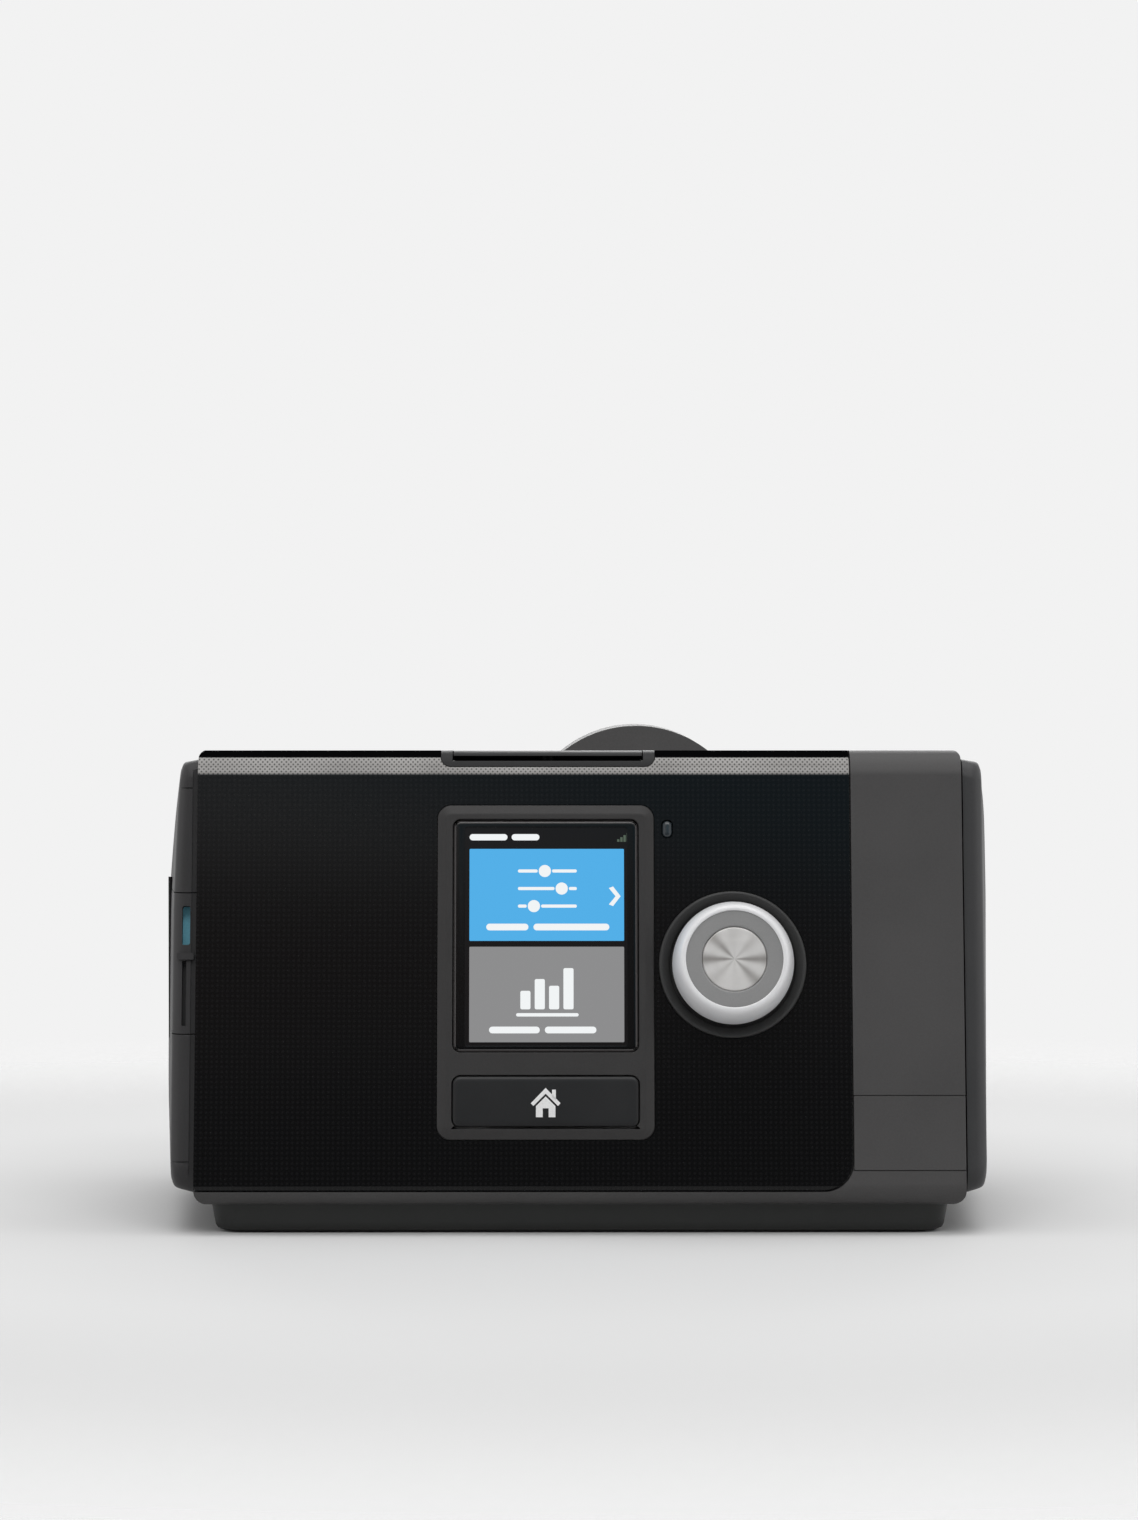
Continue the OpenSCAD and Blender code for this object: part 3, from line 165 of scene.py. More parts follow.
def solid(verts, faces):
    data = bpy.data.meshes.new("solid")
    data.from_pydata([[c * MM for c in v] for v in verts], [], faces)
    bm = bmesh.new()
    bm.from_mesh(data)
    bmesh.ops.recalc_face_normals(bm, faces=bm.faces)
    bm.to_mesh(data)
    bm.free()
    ob = bpy.data.objects.new("solid", data)
    scene.collection.objects.link(ob)
    return ob


def loft(rings):
    """Solid through closed rings of points that follow each other."""
    n, k = len(rings[0]), len(rings)
    faces = [[j * n + i, j * n + (i + 1) % n, (j + 1) * n + (i + 1) % n, (j + 1) * n + i]
             for j in range(k - 1) for i in range(n)]
    faces += [list(range(n))[::-1], list(range((k - 1) * n, k * n))]
    return solid([p for ring in rings for p in ring], faces)


def extrude(points, t0, t1, place):
    return loft([[place(u, v, t) for u, v in points] for t in (t0, t1)])


def along_x(points, x0, x1):
    return extrude(points, x0, x1, lambda u, v, t: (t, u, v))


def along_y(points, y0, y1):
    return extrude(points, y0, y1, lambda u, v, t: (u, t, v))


def along_z(points, z0, z1):
    return extrude(points, z0, z1, lambda u, v, t: (u, v, t))


def face_plate(points, w0, w1):
    return extrude(points, w0, w1, on_face)


def box(x0, x1, y0, y1, z0, z1):
    return along_z([(x0, y0), (x1, y0), (x1, y1), (x0, y1)], z0, z1)


def stepped_plate(corners, r, profile, n=12):
    """Plate whose rounded outline moves inwards along a profile of (inset, height)."""
    x0, y0, x1, y1 = corners
    return loft([[on_face(u, v, w) for u, v in rect(x0 + i, y0 + i, x1 - i, y1 - i, max(r - i, 0.15), n)]
                 for i, w in profile])


def revolve(profile, place, n=192):
    """Solid turned from a closed outline of (radius, height)."""
    k = len(profile)
    turns = [(math.cos(2 * math.pi * i / n), math.sin(2 * math.pi * i / n)) for i in range(n)]
    verts = [place(r * c, r * s, h) for c, s in turns for r, h in profile]
    faces = [[i * k + j, i * k + (j + 1) % k, (i + 1) % n * k + (j + 1) % k, (i + 1) % n * k + j]
             for i in range(n) for j in range(k)]
    ob = solid(verts, faces)
    bm = bmesh.new()
    bm.from_mesh(ob.data)
    bmesh.ops.remove_doubles(bm, verts=bm.verts, dist=1e-7)
    bmesh.ops.dissolve_degenerate(bm, edges=bm.edges, dist=1e-7)
    bmesh.ops.recalc_face_normals(bm, faces=bm.faces)
    bm.to_mesh(ob.data)
    bm.free()
    return ob


def at_dial(u, v, h):
    return on_face(DIAL_X + u, DIAL_S + v, h)


def settle(ob):
    """Applies an object's modifiers."""
    bpy.context.view_layer.update()
    done = bpy.data.meshes.new_from_object(ob.evaluated_get(bpy.context.evaluated_depsgraph_get()))
    ob.modifiers.clear()
    ob.data = done
    return ob


def combine(ob, others, operation):
    for other in others:
        m = ob.modifiers.new("with", "BOOLEAN")
        m.operation, m.object, m.solver = operation, other, "EXACT"
    settle(ob)
    for other in others:
        bpy.data.objects.remove(other)
    return ob


def cut(ob, *others):
    return combine(ob, others, "DIFFERENCE")


def join(ob, *others):
    return combine(ob, others, "UNION")


def common(ob, *others):
    return combine(ob, others, "INTERSECT")


def piece(ob, name, material, body="root", nodes=(), bevel=0.0, segments=2, angle=40,
          sharp=32):
    """Names a solid, rounds its edges, smooths it and makes it ride on a body."""
    ob.name = ob.data.name = name
    bm = bmesh.new()
    bm.from_mesh(ob.data)
    bmesh.ops.remove_doubles(bm, verts=bm.verts, dist=2e-6)
    bmesh.ops.dissolve_degenerate(bm, edges=bm.edges, dist=2e-6)
    bm.to_mesh(ob.data)
    bm.free()
    if bevel:
        m = ob.modifiers.new("edges", "BEVEL")
        m.width, m.segments, m.limit_method = bevel * MM, segments, "ANGLE"
        m.angle_limit, m.use_clamp_overlap, m.miter_outer = math.radians(angle), True, "MITER_ARC"
        settle(ob)
    ob.data.polygons.foreach_set("use_smooth", [True] * len(ob.data.polygons))
    ob.data.set_sharp_from_angle(angle=math.radians(sharp))
    m = ob.modifiers.new("normals", "WEIGHTED_NORMAL")
    m.keep_sharp, m.weight = True, 50
    ob.data.materials.clear()
    ob.data.materials.append(material)
    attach(ob, body)
    if nodes:
        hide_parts(*nodes)
    return ob


# ------------------------------------------------------------------ materials
def linear(c):
    c = c / 255
    return c / 12.92 if c <= 0.04045 else ((c + 0.055) / 1.055) ** 2.4


def rgb(r, g=None, b=None):
    return (linear(r), linear(r if g is None else g), linear(r if b is None else b), 1)


class Graph:
    """Short ways to build a material's nodes."""

    def __init__(self, name, world=None):
        self.material = world or bpy.data.materials.new(name)
        self.material.use_nodes = True
        self.tree = self.material.node_tree
        self.tree.nodes.clear()
        if world:
            return
        self.shader = self.node("BsdfPrincipled")
        out = self.node("OutputMaterial")
        self.tree.links.new(self.shader.outputs[0], out.inputs[0])
        self.place = self.node("TexCoord").outputs["Object"]

    def node(self, kind, **values):
        made = self.tree.nodes.new("ShaderNode" + kind)
        for key, value in values.items():
            setattr(made, key, value)
        return made

    def put(self, socket, value):
        if isinstance(value, bpy.types.NodeSocket):
            self.tree.links.new(value, socket)
        else:
            socket.default_value = value

    def set(self, **values):
        """Sets the shader's sockets; underscores stand for spaces."""
        for key, value in values.items():
            self.put(self.shader.inputs[key.replace("_", " ")], value)

    def math(self, operation, *values):
        made = self.node("Math", operation=operation)
        for i, value in enumerate(values):
            self.put(made.inputs[i], value)
        return made.outputs[0]

    def vector(self, operation, a, b, out=0):
        made = self.node("VectorMath", operation=operation)
        self.put(made.inputs[0], a)
        self.put(made.inputs[1], b)
        return made.outputs[out]

    def noise(self, scale, detail=2.0, rough=0.5, stretch=None):
        made = self.node("TexNoise")
        made.inputs["Scale"].default_value = scale
        made.inputs["Detail"].default_value = detail
        made.inputs["Roughness"].default_value = rough
        place = self.vector("MULTIPLY", self.place, stretch) if stretch else self.place
        self.put(made.inputs["Vector"], place)
        return made.outputs["Fac"]

    def span(self, value, a, b, c, d, smooth=False):
        made = self.node("MapRange", interpolation_type="SMOOTHSTEP" if smooth else "LINEAR")
        for i, v in enumerate((value, a, b, c, d)):
            self.put(made.inputs[i], v)
        return made.outputs[0]

    def blend(self, share, a, b):
        made = self.node("Mix", data_type="RGBA")
        self.put(made.inputs["Factor"], share)
        self.put(made.inputs[6], a)
        self.put(made.inputs[7], b)
        return made.outputs[2]

    def bump(self, height, strength, distance, normal=None):
        made = self.node("Bump")
        made.inputs["Strength"].default_value = strength
        made.inputs["Distance"].default_value = distance * MM
        self.put(made.inputs["Height"], height)
        if normal is not None:
            self.put(made.inputs["Normal"], normal)
        return made.outputs[0]

    def face_place(self):
        """x and distance up the face, in millimetres."""
        c, d = math.cos(RECLINE), math.sin(RECLINE)
        up = self.vector("DOT_PRODUCT", self.place, (0, d / MM, c / MM), 1)
        x = self.vector("DOT_PRODUCT", self.place, (1 / MM, 0, 0), 1)
        return x, self.math("SUBTRACT", up, Y_FRONT * d + Z_LOW * c)

    def dots(self, u, v, step_u, step_v, radius, soft, stagger=0.5):
        """1 on the dots of a grid, 0 between them."""
        row = self.math("FLOOR", self.math("DIVIDE", v, step_v))
        odd = self.math("MULTIPLY", self.math("MODULO", row, 2.0), stagger)
        du = self.math("FRACT", self.math("ADD", self.math("DIVIDE", u, step_u), odd))
        dv = self.math("FRACT", self.math("DIVIDE", v, step_v))
        du = self.math("MULTIPLY", self.math("SUBTRACT", du, 0.5), step_u)
        dv = self.math("MULTIPLY", self.math("SUBTRACT", dv, 0.5), step_v)
        du2, dv2 = self.math("MULTIPLY", du, du), self.math("MULTIPLY", dv, dv)
        far = self.math("SQRT", self.math("ADD", du2, dv2))
        return self.span(far, radius - soft, radius + soft, 1.0, 0.0, True)


def plastic(name, colour, rough=0.5, specular=0.3, grain=0.12, vary=0.08, tone=0.06):
    """Moulded plastic with a fine spark-eroded grain."""
    g = Graph(name)
    fine = g.noise(2600, 3.0, 0.6)
    patch = g.noise(45, 2.0)
    value = g.math("ADD", g.span(fine, 0.3, 0.7, -vary, vary), g.span(patch, 0.3, 0.7, -tone, tone))
    dark = tuple(c * 0.7 for c in colour[:3]) + (1,)
    light = tuple(min(1, c * 1.3) for c in colour[:3]) + (1,)
    g.set(Base_Color=g.blend(g.span(value, -0.3, 0.3, 0.0, 1.0), dark, light),
          Roughness=g.span(patch, 0.3, 0.7, rough - 0.04, rough + 0.05),
          Normal=g.bump(fine, grain, 0.06), Specular_IOR_Level=specular)
    return g.material


def gloss(name, colour, rough=0.08, specular=0.3):
    """Polished plastic with a trace of moulding ripple and fine dust."""
    g = Graph(name)
    wave = g.noise(60, 2.0)
    dust = g.noise(1900, 2.0, 0.7)
    light = tuple(c * 1.15 + 0.0008 for c in colour[:3]) + (1,)
    g.set(Base_Color=g.blend(g.span(dust, 0.55, 0.8, 0.0, 1.0), colour, light),
          Roughness=g.span(dust, 0.3, 0.8, rough, rough + 0.06),
          Normal=g.bump(wave, 0.02, 0.2), Specular_IOR_Level=specular)
    return g.material


def metal(name, colour, rough=0.3, brush=None):
    g = Graph(name)
    fine = g.noise(1500, 3.0, 0.6, brush)
    cloud = g.noise(70, 2.0)
    dark = tuple(c * 0.9 for c in colour[:3]) + (1,)
    g.set(Base_Color=g.blend(g.span(cloud, 0.3, 0.7, 0.0, 1.0), dark, colour), Metallic=1.0,
          Roughness=g.span(fine, 0.3, 0.7, rough - 0.06, rough + 0.08),
          Normal=g.bump(fine, 0.05, 0.05))
    return g.material


def fascia_paint():
    """Polished black with a faint grid of dots and, along the rolled edge, a pale dotted band that is a
    painted reflection of the light above.
    """
    g = Graph("fascia_gloss_dots")
    x, s = g.face_place()
    z = g.vector("DOT_PRODUCT", g.place, (0, 0, 1 / MM), 1)
    faint = g.dots(x, s, 1.2, 1.2, 0.3, 0.2, 0.0)
    face = g.blend(g.math("MULTIPLY", faint, 0.7), rgb(12, 12, 13), rgb(24, 24, 25))
    band_dots = g.dots(x, z, 1.12, 0.56, 0.2, 0.12)
    cloud = g.noise(60, 2.0)
    # pale: colour of the painted reflection on the rolled edge, broken by the printed dots
    pale = g.blend(g.span(cloud, 0.3, 0.7, 0.0, 1.0), rgb(140, 138, 136), rgb(158, 156, 154))
    painted_reflection_band = g.blend(band_dots, pale, rgb(62, 61, 60))
    low = g.span(z, PAINTED_BAND_Z[0] - 0.3, PAINTED_BAND_Z[0] + 0.3, 0.0, 1.0, True)
    high = g.span(z, PAINTED_BAND_Z[1] - 0.3, PAINTED_BAND_Z[1], 1.0, 0.0, True)
    dust = g.noise(1900, 2.0, 0.7)
    g.set(Base_Color=g.blend(g.math("MULTIPLY", low, high), face, painted_reflection_band),
          Roughness=g.span(dust, 0.3, 0.8, 0.07, 0.12),
          Normal=g.bump(g.noise(60, 2.0), 0.02, 0.2), Specular_IOR_Level=0.2)
    return g.material


def spun_metal():
    """Turned disc of the dial: real anisotropic gloss, plus dark wedges painted into its colour that stand in
    for the reflection of the turning marks.
    """
    g = Graph("spun_metal_disc")
    x, s = g.face_place()
    u, v = g.math("SUBTRACT", x, DIAL_X), g.math("SUBTRACT", s, DIAL_S)
    far = g.math("SQRT", g.math("ADD", g.math("MULTIPLY", u, u), g.math("MULTIPLY", v, v)))
    angle = g.math("ARCTAN2", v, u)
    painted_reflection_wedges = 0.0
    # painted reflection: dark wedges at fixed angles that darken the colour where the disc's reflection falls
    # dark
    for turn, power, share in ((0, 60, 0.9), (135, 46, 0.75), (45, 40, 0.3), (90, 24, 0.12)):
        part = g.math("COSINE", g.math("SUBTRACT", angle, math.radians(turn)))
        part = g.math("POWER", g.math("ABSOLUTE", part), float(power))
        painted_reflection_wedges = g.math("ADD", painted_reflection_wedges, g.math("MULTIPLY", part, share))
    grooves = g.math("SINE", g.math("MULTIPLY", far, 42.0))
    cloud = g.noise(300, 3.0)
    share = g.math("ADD", painted_reflection_wedges, g.span(cloud, 0.3, 0.7, -0.08, 0.08))
    g.set(Base_Color=g.blend(share, rgb(212, 210, 208), rgb(140, 136, 133)), Metallic=0.3,
          Roughness=g.span(grooves, -1.0, 1.0, 0.3, 0.42), Anisotropic=0.5,
          Normal=g.bump(grooves, 0.12, 0.03))
    return g.material


def screen(name, colour, strength):
    """Lit tile of the display: its own light, with the faint grid of its pixels."""
    g = Graph(name)
    x, s = g.face_place()
    rows = g.math("SINE", g.math("MULTIPLY", s, 38.0))
    cols = g.math("SINE", g.math("MULTIPLY", x, 38.0))
    grid = g.span(g.math("MULTIPLY", rows, cols), -1.0, 1.0, 0.0, 1.0)
    dark = tuple(c * 0.9 for c in colour[:3]) + (1,)
    lit = g.blend(grid, dark, colour)
    g.set(Base_Color=rgb(8), Emission_Color=lit, Emission_Strength=strength, Roughness=0.12,
          Specular_IOR_Level=0.25)
    return g.material


def rubber(name, colour):
    g = Graph(name)
    fine = g.noise(1400, 4.0, 0.7)
    g.set(Base_Color=g.blend(fine, colour, tuple(c * 1.4 for c in colour[:3]) + (1,)),
          Roughness=g.span(fine, 0.3, 0.7, 0.72, 0.86), Normal=g.bump(fine, 0.25, 0.08),
          Specular_IOR_Level=0.2)
    return g.material


def clear_plastic(name, colour):
    g = Graph(name)
    wave = g.noise(50, 2.0)
    g.set(Base_Color=g.blend(g.span(wave, 0.3, 0.7, 0.0, 1.0), colour, (0.95, 0.98, 1, 1)),
          Roughness=g.span(wave, 0.3, 0.7, 0.08, 0.13), Normal=g.bump(wave, 0.04, 0.2),
          Transmission_Weight=0.85, IOR=1.45)
    return g.material


def filter_wool():
    g = Graph("filter_fibres")
    fibres = g.noise(900, 6.0, 0.8, (1.0, 1.0, 0.35))
    tufts = g.noise(220, 4.0, 0.7)
    g.set(Base_Color=g.blend(fibres, rgb(205, 203, 194), rgb(243, 242, 236)), Roughness=0.95,
          Normal=g.bump(tufts, 0.5, 0.5, g.bump(fibres, 0.4, 0.2)), Specular_IOR_Level=0.1)
    return g.material


def board():
    """Circuit board: green mask over darker tracks."""
    g = Graph("board_green")
    tracks = g.node("TexBrick")
    tracks.inputs["Scale"].default_value = 260
    tracks.inputs["Mortar Size"].default_value = 0.02
    tracks.inputs["Color1"].default_value = rgb(28, 92, 56)
    tracks.inputs["Color2"].default_value = rgb(24, 80, 48)
    tracks.inputs["Mortar"].default_value = rgb(64, 120, 76)
    g.put(tracks.inputs["Vector"], g.place)
    g.set(Base_Color=tracks.outputs["Color"], Roughness=g.span(g.noise(400), 0.3, 0.7, 0.3, 0.42),
          Normal=g.bump(tracks.outputs["Fac"], 0.2, 0.05), Specular_IOR_Level=0.4)
    return g.material


CHARCOAL = plastic("charcoal_housing", rgb(65, 64, 64))
CAP = plastic("charcoal_cap", rgb(53, 53, 54))
# darker copy of the cap plastic for the left cap, card door and port cover: painted shade for the dimmer left
# side
CAP_SHADED = plastic("charcoal_left_cap_painted_shade", rgb(42, 41, 42))
# paler copy of the charcoal for the hose shroud: painted light that lifts a part sitting in shade
SHROUD_LIGHTENED = plastic("charcoal_shroud_painted_light", rgb(90, 89, 89))
BASE = plastic("base_black", rgb(40, 41, 40))
BEZEL_PLASTIC = plastic("bezel_grey", rgb(53, 52, 52), rough=0.42, specular=0.2)
TRIM = plastic("trim_dark", rgb(34, 34, 35), rough=0.4, specular=0.12)
BUTTON = plastic("button_black", rgb(28, 28, 29), rough=0.36, grain=0.05)
START = plastic("start_button_black", rgb(20, 20, 21), rough=0.38, grain=0.05, specular=0.12)
RING = plastic("dial_ring_grey", rgb(48, 48, 48), rough=0.46)
FASCIA = fascia_paint()
# darker, unreflecting copy of the fascia black for its top faces: painted shade that keeps the top edge dark
FASCIA_TOP_SHADED = plastic("fascia_top_painted_shade", rgb(7, 7, 8), rough=0.6, specular=0.0)
LENS_GLOSS = gloss("lens_gloss", rgb(8, 8, 9), specular=0.3)
# lens rim: a lighter grey painted on the black lens's rounded edge, a painted highlight of its bright edge
# lines
LENS_EDGE_HIGHLIGHT = plastic("lens_edge_painted_highlight", rgb(74, 71, 71), rough=0.25, specular=0.5, grain=0.0)
SENSOR = gloss("sensor_window", rgb(40, 47, 52), rough=0.12, specular=0.5)
KNOB = plastic("knob_satin_white", rgb(226, 226, 228), rough=0.3, specular=0.5, grain=0.02, vary=0.02,
               tone=0.02)
DIAL_GREY = plastic("dial_face_grey", rgb(138, 138, 138), rough=0.4, grain=0.04, vary=0.03, tone=0.03)
SPUN = spun_metal()
STEEL = metal("steel_plain", (0.6, 0.61, 0.62, 1), rough=0.32)
DARK_STEEL = metal("steel_blackened", (0.02, 0.02, 0.02, 1), rough=0.5)
PLATE = metal("plate_brushed", (0.72, 0.73, 0.74, 1), rough=0.34, brush=(1, 0.05, 1))
RUBBER = rubber("foot_rubber_dark", rgb(30, 31, 32))
SEAL = rubber("silicone_pale", rgb(206, 208, 206))
AIRPATH = plastic("airpath_white", rgb(196, 198, 199), rough=0.45)
SOCKET = plastic("socket_black", rgb(26, 26, 27), rough=0.45)
CARD = plastic("card_blue", rgb(128, 206, 232), rough=0.4, grain=0.05)
TUB = clear_plastic("tub_clear_blue", (0.74, 0.84, 0.9, 1))
FILTER = filter_wool()
BOARD = board()
BLUE = screen("tile_blue", rgb(82, 178, 236), 1.0)
GREY = screen("tile_grey", rgb(143, 143, 144), 1.0)
WHITE = screen("icon_white", rgb(246, 249, 250), 1.0)
MARK_GREEN = screen("icon_green_grey", rgb(84, 98, 84), 1.0)
SCREEN_BLACK = screen("screen_black", rgb(16, 14, 15), 1.0)
PRINT = plastic("print_white", rgb(236, 236, 236), rough=0.5, grain=0.03)


# ------------------------------------------------------------------ housing
def housing_solid():
    front = [(X_LEFT, Z_LOW), (X_RIGHT, Z_LOW), (X_RIGHT, Z_TOP), (X_LEFT, Z_TOP)]
    return common(along_x(side_outline(0), X_LEFT, X_RIGHT),
                  along_y(rounded(front, [3.4, 3.4, 2.0, 2.0], 12), Y_FRONT - 5, Y_BACK + 5))


def fascia_zone(gap):
    high = BODY_H * 1.3
    left, right = X_LEFT - 2 * gap - 0.5, FASCIA_RIGHT + gap
    low = FASCIA_LOW - gap
    face = face_plate(rounded([(left, low), (right, low), (right, high), (left, high)],
                              [1.2, 7, 0.1, 0.1], 16), -FASCIA_T - 1, 3)
    return join(face, face_plate(rect(left, BODY_H * 0.88, right, high, 0.1), -FASCIA_BACK - gap, 2.9))


def trim_zone(gap):
    return along_y(rect(TRIM_X - 25.5 - gap, TRIM_LOW - 1.3 - gap, TRIM_X + 25.5 + gap, Z_TOP + 9, 2.4 + gap),
                   TRIM_BACK - TRIM_D - 12, TRIM_BACK + gap)


def make_fascia():
    shell = cut(housing_solid(), along_x(side_outline(FASCIA_T), X_LEFT - 1, X_RIGHT + 1))
    shell = common(shell, fascia_zone(0))
    shell = cut(shell, trim_zone(0.15), face_plate(rect(*grown(BEZEL, 0.15), 3.45), -4, 2),
                face_plate(circle(DIAL_X, DIAL_S, DIAL_RING_R + 0.15), -4, 2),
                face_plate(rect(*grown(SENSOR_BOX, 0.15), 1.35), -4, 2))
    ob = piece(shell, "fascia", FASCIA, nodes=["front_fascia"], bevel=0.3, angle=50)
    ob.data.materials.append(FASCIA_TOP_SHADED)
    # faces above the painted band and towards the back take the painted-shade black
    for p in ob.data.polygons:
        if p.center.z > PAINTED_BAND_Z[1] * MM or p.center.y > -46.5 * MM:
            p.material_index = 1


def make_housing():
    body = cut(housing_solid(), along_x(room_outline(), X_LEFT - 1, X_RIGHT + 1))
    zone = cut(fascia_zone(0.38), along_x(side_outline(FASCIA_T), X_LEFT - 3, X_RIGHT + 1))
    ears = []
    for side in (-1, 1):
        x = INLET_MID[0] + side * 8.25
        ears += [box(x - 1, x + 1, Y_BACK - 0.5, CLIP_PIN[0], CLIP_PIN[1] - 2, CLIP_PIN[1] + 2),
                 along_x(circle(*CLIP_PIN, 2, 48), x - 1.001, x + 1.001)]
    body = join(body, *ears)
    return cut(
        body, zone, trim_zone(0.15),
        face_plate(rect(LENS[0] + 1.95, LENS[1] + 0.85, LENS[2] - 1.95, LENS[3] - 1.05, 0.5), -SKIN - 1, 0.5),
        face_plate(circle(DISPLAY_X, HOME_STEM_S, STEM_R + PLAY, 48), -SKIN - 1, 0.5),
        face_plate(circle(DIAL_X, DIAL_S, SHAFT_R + 0.06, 64), -SKIN - 1, 0.5),
        face_plate(rect(FASCIA_RIGHT - 1, BADGE_S[0] - 0.16, X_RIGHT + 1, BADGE_S[1] + 0.16, 0.1), -0.8, 2),
        along_z(circle(TRIM_X, STEM_Y, STEM_R + PLAY, 48), ROOF_Z - 1, Z_TOP),
        box(-85.25, FILTER_X[1] + PLAY, BACK_IN - 1, Y_BACK + 1, FILTER_Z[0] - PLAY, FILTER_Z[1] + PLAY),
        along_y(circle(OUTLET_X, OUTLET_Z, OUTLET_R + 0.06), BACK_IN - 1, Y_BACK + 1),
        box(INLET_X[0] - 0.15, INLET_X[1] + 0.15, BACK_IN - 1, Y_BACK + 1,
            INLET_Z[0] - 0.15, INLET_Z[1] + 0.15),
        along_x(circle(*CLIP_PIN, 0.9, 48), -34, -6))


make_fascia()
piece(make_housing(), "housing", CHARCOAL, nodes=["main_housing"], bevel=0.25,
      angle=50)
piece(stepped_plate((FASCIA_RIGHT + 0.42, BADGE_S[0], X_RIGHT - 0.02, BADGE_S[1]), 0.3,
                    [(0, -0.8), (0, -0.12), (0.12, 0)]),
      "badge_plate", CHARCOAL, nodes=["badge_panel"])


# ------------------------------------------------------------------ display
def make_bezel():
    ring = stepped_plate(BEZEL, 3.3, [(0, -2.0), (0, -0.1), (0.1, 0.06), (0.3, 0.16), (1.9, 0.74),
                                      (2.15, 0.79), (2.5, 0.8)], n=20)
    return cut(ring, face_plate(rect(*grown(LENS, 0.1), 1.9), -3, 2),
               face_plate(rect(*grown(HOME, 0.25), 2.25), -3, 2))


piece(make_bezel(), "display_frame", BEZEL_PLASTIC, nodes=["display_bezel"],
      bevel=0.18, angle=50)

SCREEN = (-27.2, 37.9, 11.2, 90.1)      # opening of the lens's black mask
lens = stepped_plate(LENS, 1.8, [(0, -1.3), (0, -0.62), (0.1, -0.3), (0.34, -0.06), (0.7, 0.06), (1.2, 0.1)],
                     n=16)
lens = cut(lens, face_plate(rect(*SCREEN, 0.6), -0.28, 1))
lens = piece(lens, "lens", LENS_GLOSS, nodes=["display_lens"], bevel=0.05, angle=60)
lens.data.materials.append(LENS_EDGE_HIGHLIGHT)
# rim faces of the lens take the painted highlight grey
for p in lens.data.polygons:
    out = [abs(p.center.x / MM - DISPLAY_X) - (LENS[2] - DISPLAY_X),
           abs(face_s(p.center) - (LENS[1] + LENS[3]) / 2) - (LENS[3] - LENS[1]) / 2]
    if -0.62 < max(out) < -0.08 and abs(p.normal.x) + abs(p.normal.z - math.sin(RECLINE)) > 0.2:
        p.material_index = 1

DEPTH = -0.27                           # front of the lit screen below the lens
piece(stepped_plate(grown(SCREEN, -0.02), 0.6, [(0, DEPTH - 0.01), (0, DEPTH)]), "screen_back", SCREEN_BLACK)


def lit(points, name, material):
    return piece(face_plate(points, DEPTH, DEPTH + 0.05), name, material, sharp=30)


TILE_X = (-26.2, 10.5)
lit(rect(TILE_X[0], 62.9, TILE_X[1], 84.9, 0.25), "tile_upper", BLUE)
lit(rect(TILE_X[0], 38.8, TILE_X[1], 61.5, 0.25), "tile_lower", GREY)


def marks(shapes, name, material, rise=0.09, place=None, body="root"):
    """Thin raised shapes joined into one piece."""
    made = [face_plate(points, place or DEPTH + 0.04, (place or DEPTH) + rise) for points in shapes]
    first = made[0]
    for other in made[1:]:
        bm = bmesh.new()
        bm.from_mesh(first.data)
        bm.from_mesh(other.data)
        bm.to_mesh(first.data)
        bm.free()
        bpy.data.objects.remove(other)
    return piece(first, name, material, body=body, sharp=30)


def bar(x0, x1, s, h):
    return rect(x0, s - h / 2, x1, s + h / 2, h / 2 - 0.01, 6)


# plain bars where the screen has words
marks([bar(-26.2, -17.2, 87.7, 1.5), bar(-16.2, -9.6, 87.7, 1.5)], "status_bars", WHITE)
marks([bar(-22.2, -12.2, 66.2, 1.6), bar(-11.0, 7.0, 66.2, 1.6)], "upper_bars", WHITE)
marks([bar(-21.5, -9.5, 41.7, 1.6), bar(-8.3, 3.9, 41.7, 1.6)], "lower_bars", WHITE)
marks([rect(8.9 + i * 0.75, 86.6, 9.45 + i * 0.75, 87.2 + i * 0.5, 0.05, 2) for i in range(4)],
      "signal_steps", MARK_GREEN)

# three sliders on the upper tile, with an arrow beside them
ICON_X, UPPER_S, LOWER_S = -7.7, 75.4, 51.6
sliders = []
for i, knob in enumerate((-3.2, 3.4, -0.6)):
    s = UPPER_S + (i - 1) * 4.2
    sliders += [bar(ICON_X - 7, ICON_X + knob - 1.7, s, 0.75), bar(ICON_X + knob + 1.7, ICON_X + 7, s, 0.75),
                circle(ICON_X + knob, s, 1.45, 40)]
marks(sliders, "slider_mark", WHITE)
marks([[(6.9, 75.5), (7.9, 75.9), (9.7, 73.55), (8.5, 73.55)],
       [(8.5, 73.55), (9.7, 73.55), (7.9, 71.2), (6.9, 71.6)]],
      "arrow_mark", WHITE)
# bars of a chart on the lower tile
marks([rect(ICON_X - 6.4 + i * 3.4, LOWER_S - 5, ICON_X - 4 + i * 3.4, LOWER_S - 5 + h, 0.4, 5)
       for i, h in enumerate((4.4, 7.2, 5.6, 9.8))] + [bar(ICON_X - 7.4, ICON_X + 7.4, LOWER_S - 6.3, 0.8)],
      "chart_mark", WHITE)


